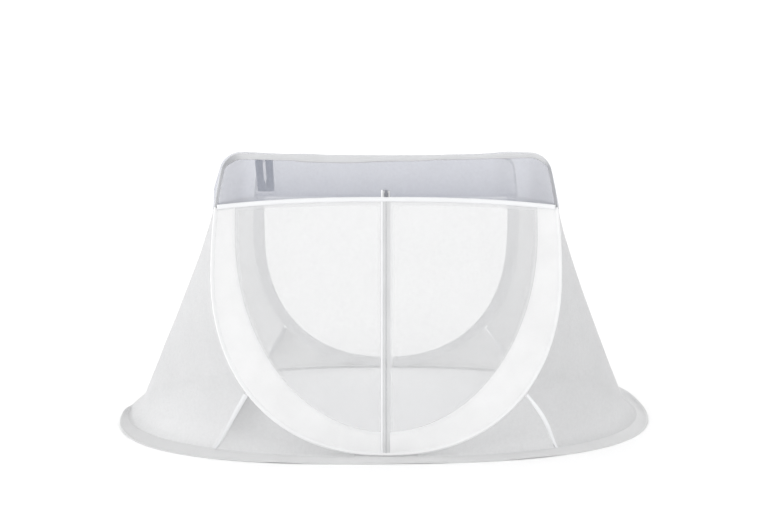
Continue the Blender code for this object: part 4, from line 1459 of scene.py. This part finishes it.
def build_side_nets():
    """Dense net walls from the hoops to the floor, stretched, with faint pull folds."""
    w = walls()
    line = half_line(WALL_LIFT)
    hoop_edges = hoop_side_point(line, np.linspace(w.shoulder - HAIR, w.side_join, HOOP_ROWS))
    inset = np.repeat([0.0, w.tape_half + TAPE_PLAY], [HOOP_ROWS, SEAM_ROWS])
    u = centred_shares(WALL_COLUMNS)
    for name, seed in (("left", 81), ("right", 91)):
        side = Side(name)
        seam_edges = seam_points(side, 1 - np.linspace(1, 0, SEAM_ROWS) ** 1.5)
        edges = np.concatenate([hoop_edges, seam_edges])
        grid = wall_points(side, edges, u * edge_share(side, edges, inset)[:, None])
        normal = grid_normals(grid)
        if normal[:, :, 0].mean() * side.sign < 0:
            normal = -normal
        down = np.linspace(0, 1, len(edges))[:, None]
        window = smooth((1 - np.abs(u)) / 0.16) * smooth(down / 0.10) * smooth((1 - down) / 0.10)
        wave = waves(grid, seed, *WALL_WAVES)
        for face, height, end, width in PULL_FOLDS:
            start = hoop_side_point(line, height) * side.mirror(face)
            wave = wave + PULL_FOLD * crease(grid, start, end * side.mirror(BACK), width, seed)
        grid = grid + normal * (wave * window)[..., None]
        grid[-1, :, 2] = foot_height()
        grid = foot_lip(side, grid)
        metres = metre_map(grid, middle=True)
        to_edge = np.abs(metres[:, :1, 0]) - np.abs(metres[..., 0])
        hem = WALL_HEM_COVER * hem_share(np.minimum(to_edge, metres[..., 1]), WALL_HEM)
        # Painted light: the yarn turns lighter towards the foot of each wall, and on the left also
        # towards its seams low down.
        low = grid[..., 2]
        fold = np.clip(1 - low / 0.22, 0.0, 1.0) ** 2 * (0.46 if name == "left" else 0.42)
        if name == "left":
            fold = fold + 0.34 * smooth((np.abs(u) - 0.45) / 0.4) * np.clip(1 - low / 0.36, 0, 1)
        piece = cloth("side_net_cloth_" + name, grid, side_mesh(), metres, hem=hem,
                      fold=np.minimum(fold, 1.0))
        settle(piece, "side_net", "side_net_" + name)
        declare(np.ptp(metres[..., 0]), metres[-1, :, 1].max(), grid_area(grid))


def gusset_points(side, along, down, face):
    """Low corner piece: along 0 at the seam, 1 at its tip; down 0 at the hoop, 1 at the floor."""
    w = walls()
    line = half_line(WALL_LIFT)
    rising = line[:int(np.argmax(line[:, 0])) + 1]
    start = float(x_at(line, w.seam_height))
    x = start + (w.gusset_tip - start) * along
    z = np.interp(x, rising[:, 0], rising[:, 1])
    top = np.stack([x, hoops().foot - hoops().lean * z, z], axis=-1)
    foot_x = w.seam_foot + (w.gusset_tip - w.seam_foot) * along
    foot = np.stack([foot_x, oval_depth(foot_x, side.reach),
                     np.full_like(foot_x, foot_height())], axis=-1)
    points = top * (1 - down[..., None]) + foot * down[..., None]
    points[..., 0] += side.bow * np.sin(math.pi * down) * np.maximum(0.0, 1 - along) ** 5
    return points * side.mirror(face)


GUSSET_ROWS, GUSSET_COLUMNS = 26, 90
GUSSET_WAVE, GUSSET_RIPPLE = (0.0022, 0.20), (0.0008, 0.06)
GUSSET_SPARE = 0.03           # a corner net is cut this much taller than its seam's height


def quarters():
    """The four low corners, as side, face, where and name."""
    return [(Side(name), face, where, where + "_" + name) for name in ("left", "right")
            for face, where in ((FRONT, "front"), (BACK, "back"))]


def build_gussets():
    """Low corner nets between the hoops' bottoms, the corner seams and the floor."""
    w = walls()
    run = w.seam_foot - w.gusset_tip
    first = (w.tape_half + TAPE_PLAY) / run
    down, along = np.meshgrid(1 - np.linspace(1, 0, GUSSET_ROWS) ** 1.4,
                              np.linspace(first, 1, GUSSET_COLUMNS), indexing="ij")
    window = arch(down, 0.8) * smooth((1 - along) / 0.2) * smooth((along - first) / 0.08)
    for side, face, where, name in quarters():
        seed = 101 + 2 * (side.sign + 1) + face
        grid = gusset_points(side, along, down, face)
        wave = waves(grid, seed, GUSSET_WAVE) + waves(grid, seed + 9, GUSSET_RIPPLE)
        grid = grid + np.array([0, face, 0.25]) * (wave * window)[..., None]
        grid[-1, :, 2] = foot_height()
        grid = foot_lip(side, grid, smooth(down))
        # Painted shade and light: darkest at the top by the seams, on the left lighter towards the
        # tip, and lightest at the foot.
        top_light_share = 0.50 * smooth(along / 0.3) if side.name == "left" else 0.56
        piece = cloth("corner_net_" + name, grid, corner_mesh(), metre_map(grid),
                      fold=top_light_share + (1 - top_light_share) * down ** 3)
        settle(piece, "side_net", "gusset_" + name)
        declare(run, w.seam_height + GUSSET_SPARE, grid_area(grid))


TAPE_ROWS, TAPE_COLUMNS, TAPE_CLOTH = 60, 9, 0.0010
TAPE_LIFT, TAPE_CROWN = 0.0016, 0.0010     # its edges lie this far out, its middle further
TAPE_OUT = np.array([0.75, 0.65, 0.1])     # outward, in the right back quarter
TAPE_WIDTHS = {"left": lambda drop: 1.25 - 0.40 * drop,
               "right": lambda drop: 0.62 + 0.38 * np.sin(math.pi * drop)}


def build_seam_tapes():
    """White tapes over the four corner seams, stitched near both edges."""
    w = walls()
    t = np.linspace(0, 1, TAPE_COLUMNS)[None, :, None]
    for side, face, _, name in quarters():
        run = float(lengths_along(seam_points(side, np.linspace(0, 1, 20)))[-1])
        drop = np.linspace(SEAM_END_DROP / run, 1, TAPE_ROWS)
        edges = seam_points(side, drop)
        half = (w.tape_half + TAPE_LAP) * TAPE_WIDTHS[side.name](drop)
        near = edge_share(side, edges, half)[:, None]
        on_wall = wall_points(side, edges, face * near)
        middle = (edges * side.mirror(face))[:, None]
        on_gusset = gusset_points(side, half / (w.seam_foot - w.gusset_tip), drop, face)[:, None]
        grid = (on_wall * (1 - t) * (1 - 2 * t) + middle * 4 * t * (1 - t)
                + on_gusset * t * (2 * t - 1))
        away = unit(TAPE_OUT * side.mirror(face))
        lift = TAPE_LIFT + TAPE_CROWN * arch(t[..., 0], 1) + 0.0003 * drift(grid, 121, 0.03)
        grid = foot_lip(side, grid) + away * lift[..., None]
        grid[-1, :, 2] = np.maximum(grid[-1, :, 2], foot_height())
        label = "corner_tape_" + name
        piece = cloth(label, grid, shaded_left_tape() if side.name == "left" else white_tape(),
                      thickness=TAPE_CLOTH)
        settle(piece, "white_binding", "seam_tape_" + name)
        out = np.broadcast_to(away, (TAPE_ROWS, 3))
        lines = [(grid[:, column] + out * 0.0007, out) for column in (1, TAPE_COLUMNS - 2)]
        sewn = stitches(label + "_stitches", lines, white_thread(), "white_binding")
        width = np.linalg.norm(np.diff(grid, axis=1), axis=-1).sum(axis=1).mean()
        declare_strip(width, run)


ROOF_COLUMNS = 101
ROOF_WAVES = ((0.0026, 0.30), (0.0010, 0.10))
ROOF_LIFT = 0.0007            # the cloth lies this far above its solid's middle
ROOF_UNDERLAP = 0.004         # and reaches this far down past the top of the walls
# Low peaks near the front corners: across, in depth, size and height.
ROOF_PEAKS = ((0.405, -0.345, 0.055, 0.0060), (-0.440, -0.345, 0.050, 0.0028))


def roof_points(side, x, z, u):
    """Roof places for hoop points (rows) and u from -1 front to 1 back (columns)."""
    h, w = hoops(), walls()
    line = half_line(WALL_LIFT)
    level = np.minimum(z, h.shoulder)
    push = side.middle(level) - x_at(line, level)
    push = push + side.swell * np.clip((level - w.shoulder) / w.swell_rise, 0.0, 1.0)
    ratio = x / corner_middle()
    mid_x = x + push * np.minimum(ratio, 1.0)
    mid_z = z - w.roof_sag * np.maximum(0.0, 1 - ratio ** 2)
    part = 1 - u * u
    x, z = x[:, None], z[:, None]
    return np.stack([side.sign * (x + (mid_x[:, None] - x) * part),
                     u * (h.foot - h.lean * z), z + (mid_z[:, None] - z) * part], axis=-1)


def roof_line():
    """Right half of the line that the roof cloth follows over a hoop."""
    return part_above(half_line(WALL_LIFT), walls().shoulder - ROOF_UNDERLAP)


def build_roof():
    """Sheer grey roof over both hoops, pulled into low peaks near the corners."""
    half = even(roof_line(), 100)
    u = centred_shares(ROOF_COLUMNS)
    right = roof_points(Side("right"), half[:, 0], half[:, 1], u)
    left = roof_points(Side("left"), half[-2::-1, 0], half[-2::-1, 1], u)
    grid = np.concatenate([right, left])
    normal = grid_normals(grid)
    if normal[len(grid) // 2, :, 2].mean() < 0:
        normal = -normal
    on_top = smooth((grid[..., 2] - hoops().shoulder) / 0.05)
    wave = waves(grid, 131, *ROOF_WAVES) * smooth((1 - np.abs(u)) / 0.12)
    peaks = sum(rise * bell(grid[..., 0] - x, size) * bell((grid[..., 1] - y) * 0.55, size)
                for x, y, size, rise in ROOF_PEAKS)
    grid = grid + normal * (wave * (0.35 + 0.65 * on_top) + ROOF_LIFT)[..., None]
    grid[..., 2] += peaks * on_top
    metres = metre_map(grid, middle=True)
    piece = cloth("roof_cloth", grid, shade_mesh(), metres)
    settle(piece, "grey_shade", "roof")
    declare(np.ptp(metres[..., 0]), metres[-1, :, 1].max(), grid_area(grid))


# ---- skirt and strap ----

SKIRT_TURNS, SKIRT_RINGS = 420, 16
SKIRT_CLOTH, SKIRT_HEM, SKIRT_SEAM = 0.0013, 0.0011, 0.0085  # cloth, turned hem, its stitches
SKIRT_TURN = 0.010            # width of the turned hem
SKIRT_STITCH, SKIRT_STITCH_GAP = 0.0034, 0.0020
SKIRT_WAVE, SKIRT_RIPPLE = (0.0026, 0.17), (0.0012, 0.05)  # height and size, only upward
LEFT_CURL, RIGHT_CURL = 0.014, 0.009                       # rise of the skirt's two ends
FLOOR_GAP = 0.0001


def build_skirt():
    """Skirt that lies on the floor all round, with soft waves and a turned hem."""
    w = walls()
    turn = full_turn(SKIRT_TURNS)
    c, s = np.cos(turn), np.sin(turn)
    power = 2 / w.skirt_roundness
    outer = np.stack([w.skirt_width * signed_power(c, power),
                      w.skirt_depth * signed_power(s, power)], axis=-1)
    outer[:, 1] += w.skirt_skew * outer[:, 0]
    power = 2 / w.roundness
    reach = np.where(c > 0, w.right_reach, w.left_reach) - w.skirt_underlap
    inner = np.stack([reach * signed_power(c, power),
                      (w.depth - w.skirt_underlap) * signed_power(s, power)], axis=-1)
    t = np.linspace(0, 1, SKIRT_RINGS) ** 0.85
    flat = between(inner, outer, t)
    span = np.linalg.norm(outer - inner, axis=-1)[:, None]
    outside = smooth((t * span - w.skirt_underlap - LIP["left"][0]) / 0.03)
    places = np.concatenate([flat, np.zeros((*flat.shape[:2], 1))], axis=-1)
    wave = sum(height * np.maximum(0, drift(places, 141 + k, size))
               for k, (height, size) in enumerate((SKIRT_WAVE, SKIRT_RIPPLE)))
    tips = bell(np.arcsin(s), 0.30)[:, None]
    curl = np.where(c < 0, LEFT_CURL, RIGHT_CURL)[:, None]
    base = FLOOR_GAP + (wave + curl * tips * t ** 1.5) * outside
    top = base + SKIRT_CLOTH + SKIRT_HEM * hem_share((1 - t) * span, SKIRT_TURN, 0.003)
    rows = np.concatenate([np.dstack([flat, top]), np.dstack([flat, base])[:, ::-1]], axis=1)
    faces, spots = grid_faces(SKIRT_TURNS, rows.shape[1], True, True)
    around = lengths_along(np.concatenate([outer, outer[:1]]))
    across = 0.09 * np.concatenate([t, t[::-1], t[:1]])
    metres = np.stack(np.broadcast_arrays(around[:, None], across), axis=-1)
    piece = add_piece("skirt_cloth", rows.reshape(-1, 3), faces, skirt_cloth(),
                      {CLOTH_MAP: metres[spots[..., 0], spots[..., 1]]})
    face_outward(piece.data)
    # Painted shade: the skirt's left end is darker, against the side light that falls on it.
    mark(piece.data, "Fold", smooth((-rows[..., 0] - 0.40) / 0.45))
    settle(piece, "side_net", "floor_skirt")
    share_in = 1 - SKIRT_SEAM / span
    height = [np.interp(part, t, row) for part, row in zip(share_in, top)]
    seam = np.concatenate([inner * (1 - share_in) + outer * share_in,
                           np.array(height) + 0.0002], axis=-1)
    seam = np.concatenate([seam, seam[:1]])
    upward = np.broadcast_to([0.0, 0.0, 1.0], seam.shape)
    sewn = stitches("skirt_stitches", [(seam, upward)], thread("skirt thread", "skirt"),
                    "side_net", SKIRT_STITCH, SKIRT_STITCH_GAP)
    area = grid_area(np.concatenate([rows[:, :SKIRT_RINGS], rows[:1, :SKIRT_RINGS]]))
    declare(area / around[-1], around[-1], area)


STRAP_ROWS, STRAP_COLUMNS, STRAP_CLOTH = 60, 12, 0.0016
STRAP_DROP = 0.0016           # its head hangs this far under the roof cloth
STRAP_SHIFT = 0.006           # its foot hangs this far towards the middle
STRAP_BEND = 0.0035           # its two strands stand this far apart from one plane
STRAP_BOX_HIGH, STRAP_BOX_LOW, STRAP_BOX_INSET = 0.0015, 0.010, 0.004   # the sewn head
STRAP_BOX_OUT, STRAP_BOX_POINTS = 0.0022, 90


def build_strap():
    """Webbing loop that hangs flat under the roof, sewn at its head."""
    f = front()
    line = roof_line()
    on_top = line[line[:, 1] > hoops().shoulder]
    u = np.array([[f.strap_y / (hoops().foot - hoops().lean * top_height())]])
    across = roof_points(Side("left"), on_top[:, 0], on_top[:, 1], u)[:, 0]
    across = across[np.argsort(across[:, 0])]
    half, slit = f.strap_width / 2, f.strap_slit / 2
    spots = f.strap_x + np.linspace(-half, half, 9)
    top = float(np.interp(spots, across[:, 0], across[:, 2]).min()) - STRAP_DROP
    web = shared("webbing", woven_material, looks().webbing, 0.0014, ribs=0.0028, spread=0.12,
                 strength=0.8, rough=0.7, sheen=0.10)
    t = np.linspace(0, 1, STRAP_ROWS)[:, None]
    width_share = np.linspace(0, 1, STRAP_COLUMNS)
    z = np.broadcast_to(top - f.strap_length * t, (STRAP_ROWS, STRAP_COLUMNS))
    open_share = (1 - 0.999 * smooth((t - 0.60) / 0.22)) * (1 - 0.999 * smooth((0.07 - t) / 0.03))
    for sign, name in ((-1, "outer"), (1, "inner")):
        near, far = sign * slit * open_share, sign * (half - 0.002 * smooth(t))
        x = f.strap_x + near * (1 - width_share) + far * width_share + STRAP_SHIFT * smooth(t)
        y = f.strap_y + sign * (STRAP_BEND * np.sin(math.pi * t) + 0.0008)
        y = y + 0.0008 * np.cos(2 * math.pi * width_share)
        grid = np.stack([x, y, z], axis=-1)
        piece = cloth("strap_" + name, grid, web, thickness=STRAP_CLOTH)
        settle(piece, "webbing", *(["strap_loop"] if name == "outer" else []))
        declare(half, f.strap_length, grid_area(grid))
    low, high = top - STRAP_BOX_LOW, top - STRAP_BOX_HIGH
    left, right = (f.strap_x + sign * (half - STRAP_BOX_INSET) for sign in (-1, 1))
    box = np.array([[left, 0.0, low], [right, 0.0, low], [right, 0.0, high], [left, 0.0, high],
                    [left, 0.0, low]])
    lines = [(even(box + [0.0, f.strap_y + face * STRAP_BOX_OUT, 0.0], STRAP_BOX_POINTS),
              np.broadcast_to([0.0, face, 0.0], (STRAP_BOX_POINTS, 3))) for face in (FRONT, BACK)]
    stitches("strap_stitches", lines, thread("strap thread", "webbing"), "webbing")


# ---- stage ----

FLOOR_HALF, FLOOR_TONE = 30.0, (0.97, 0.97, 0.97, 1.0)
SUN_SIZE = math.radians(10.0)
SUN_FROM, SUN_TO = (-4.4, 0.15, 0.44), (-0.6, 0.0, 0.30)


def build_stage():
    """Pale floor, even studio light, a soft light on the left, and the camera."""
    scene = bpy.context.scene
    stage = scene.canopy_stage
    work = bmesh.new()
    bmesh.ops.create_grid(work, x_segments=8, y_segments=8, size=FLOOR_HALF)
    mesh = bpy.data.meshes.new("floor")
    work.to_mesh(mesh)
    work.free()
    place("floor", mesh)
    paint = bpy.data.materials.new("pale floor")
    paint.use_nodes = True
    shader = paint.node_tree.nodes["Principled BSDF"]
    shader.inputs["Base Color"].default_value = FLOOR_TONE
    shader.inputs["Roughness"].default_value = 0.9
    shader.inputs["Specular IOR Level"].default_value = 0.0
    mesh.materials.append(paint)

    sky = bpy.data.worlds.new("studio")
    sky.use_nodes = True
    background = sky.node_tree.nodes["Background"]
    background.inputs["Color"].default_value = (1.0, 1.0, 1.0, 1.0)
    background.inputs["Strength"].default_value = stage.sky
    scene.world = sky

    lamp = bpy.data.lights.new("side light", "SUN")
    lamp.angle = SUN_SIZE
    lamp.energy = stage.key
    key = place("side light", lamp)
    key.location = SUN_FROM
    key.rotation_euler = (Vector(SUN_TO) - key.location).to_track_quat("-Z", "Y").to_euler()

    lens = bpy.data.cameras.new("camera")
    lens.sensor_width = SENSOR
    lens.lens = stage.camera_lens
    lens.dof.use_dof = False
    lens.clip_start, lens.clip_end = 0.05, 200.0
    camera = place("camera", lens)
    camera.location = (stage.camera_x, stage.camera_y, stage.camera_z)
    camera.rotation_euler = (math.pi / 2 - stage.camera_pitch, 0.0, 0.0)
    scene.camera = camera
    scene.view_settings.view_transform = "Standard"


# ---- operators and panel ----

def build_on_frame(build):
    """Runs one builder, on a scene that has the canopy's frame."""
    if not frame["nodes"]:
        raise RuntimeError("the canopy's frame is missing")
    build()
    return {"FINISHED"}


class CANOPY_OT_stage(bpy.types.Operator):
    """Add the floor, the studio light and the camera"""
    bl_idname = "canopy.stage"
    bl_label = "Stage"
    bl_options = {"REGISTER", "UNDO"}

    def execute(self, context):
        return build_on_frame(build_stage)


class CANOPY_OT_sleeves(bpy.types.Operator):
    """Add the hoop sleeves and the casings over the top of the hoops"""
    bl_idname = "canopy.sleeves"
    bl_label = "Hoop Sleeves"
    bl_options = {"REGISTER", "UNDO"}

    def execute(self, context):
        return build_on_frame(build_sleeves)


class CANOPY_OT_borders(bpy.types.Operator):
    """Add the white borders of the front panel"""
    bl_idname = "canopy.borders"
    bl_label = "Front Borders"
    bl_options = {"REGISTER", "UNDO"}

    def execute(self, context):
        return build_on_frame(build_borders)


class CANOPY_OT_door_nets(bpy.types.Operator):
    """Add the two halves of the net door"""
    bl_idname = "canopy.door_nets"
    bl_label = "Door Nets"
    bl_options = {"REGISTER", "UNDO"}

    def execute(self, context):
        return build_on_frame(build_door_nets)


class CANOPY_OT_valances(bpy.types.Operator):
    """Add the grey shades over the door and over the back net"""
    bl_idname = "canopy.valances"
    bl_label = "Valances"
    bl_options = {"REGISTER", "UNDO"}

    def execute(self, context):
        return build_on_frame(build_valances)


class CANOPY_OT_bound_edge(bpy.types.Operator):
    """Add the white binding over the door"""
    bl_idname = "canopy.bound_edge"
    bl_label = "Bound Edge"
    bl_options = {"REGISTER", "UNDO"}

    def execute(self, context):
        return build_on_frame(build_bound_edge)


class CANOPY_OT_zip(bpy.types.Operator):
    """Add the zip with its teeth, slider and flap"""
    bl_idname = "canopy.zip"
    bl_label = "Zip"
    bl_options = {"REGISTER", "UNDO"}

    def execute(self, context):
        return build_on_frame(build_zip)


class CANOPY_OT_back_panel(bpy.types.Operator):
    """Add the border and the net of the back panel"""
    bl_idname = "canopy.back_panel"
    bl_label = "Back Panel"
    bl_options = {"REGISTER", "UNDO"}

    def execute(self, context):
        return build_on_frame(build_back_panel)


class CANOPY_OT_side_nets(bpy.types.Operator):
    """Add the two net walls"""
    bl_idname = "canopy.side_nets"
    bl_label = "Side Nets"
    bl_options = {"REGISTER", "UNDO"}

    def execute(self, context):
        return build_on_frame(build_side_nets)


class CANOPY_OT_gussets(bpy.types.Operator):
    """Add the four low corner nets"""
    bl_idname = "canopy.gussets"
    bl_label = "Corner Nets"
    bl_options = {"REGISTER", "UNDO"}

    def execute(self, context):
        return build_on_frame(build_gussets)


class CANOPY_OT_seam_tapes(bpy.types.Operator):
    """Add the white tapes over the corner seams"""
    bl_idname = "canopy.seam_tapes"
    bl_label = "Seam Tapes"
    bl_options = {"REGISTER", "UNDO"}

    def execute(self, context):
        return build_on_frame(build_seam_tapes)


class CANOPY_OT_roof(bpy.types.Operator):
    """Add the grey roof"""
    bl_idname = "canopy.roof"
    bl_label = "Roof"
    bl_options = {"REGISTER", "UNDO"}

    def execute(self, context):
        return build_on_frame(build_roof)


class CANOPY_OT_skirt(bpy.types.Operator):
    """Add the skirt on the floor"""
    bl_idname = "canopy.skirt"
    bl_label = "Skirt"
    bl_options = {"REGISTER", "UNDO"}

    def execute(self, context):
        return build_on_frame(build_skirt)


class CANOPY_OT_strap(bpy.types.Operator):
    """Add the webbing strap under the roof"""
    bl_idname = "canopy.strap"
    bl_label = "Strap"
    bl_options = {"REGISTER", "UNDO"}

    def execute(self, context):
        return build_on_frame(build_strap)


OPERATORS = (CANOPY_OT_stage, CANOPY_OT_sleeves, CANOPY_OT_borders, CANOPY_OT_door_nets,
             CANOPY_OT_valances, CANOPY_OT_bound_edge, CANOPY_OT_zip, CANOPY_OT_back_panel,
             CANOPY_OT_side_nets, CANOPY_OT_gussets, CANOPY_OT_seam_tapes, CANOPY_OT_roof,
             CANOPY_OT_skirt, CANOPY_OT_strap)
GROUPS = {"canopy_hoops": CanopyHoops, "canopy_walls": CanopyWalls, "canopy_front": CanopyFront,
          "canopy_looks": CanopyLooks, "canopy_stage": CanopyStage}


class CANOPY_PT_panel(bpy.types.Panel):
    """Sizes, colours and pieces of the net canopy"""
    bl_idname = "CANOPY_PT_panel"
    bl_label = "Net Canopy"
    bl_space_type = "VIEW_3D"
    bl_region_type = "UI"
    bl_category = "Net Canopy"

    def draw(self, context):
        layout = self.layout
        layout.use_property_split = True
        for operator in OPERATORS:
            layout.operator(operator.bl_idname)
        for label, group in GROUPS.items():
            values = getattr(context.scene, label)
            box = layout.box()
            box.label(text=group.__doc__)
            for key in group.__annotations__:
                box.prop(values, key)


CLASSES = (*GROUPS.values(), *OPERATORS, CANOPY_PT_panel)


def register():
    for item in CLASSES:
        bpy.utils.register_class(item)
    for label, group in GROUPS.items():
        setattr(bpy.types.Scene, label, PointerProperty(type=group))


def unregister():
    for label in GROUPS:
        delattr(bpy.types.Scene, label)
    for item in reversed(CLASSES):
        bpy.utils.unregister_class(item)


def main():
    register()
    for operator in OPERATORS:
        group, name = operator.bl_idname.split(".")
        getattr(getattr(bpy.ops, group), name)()


if __name__ == "__main__":
    main()
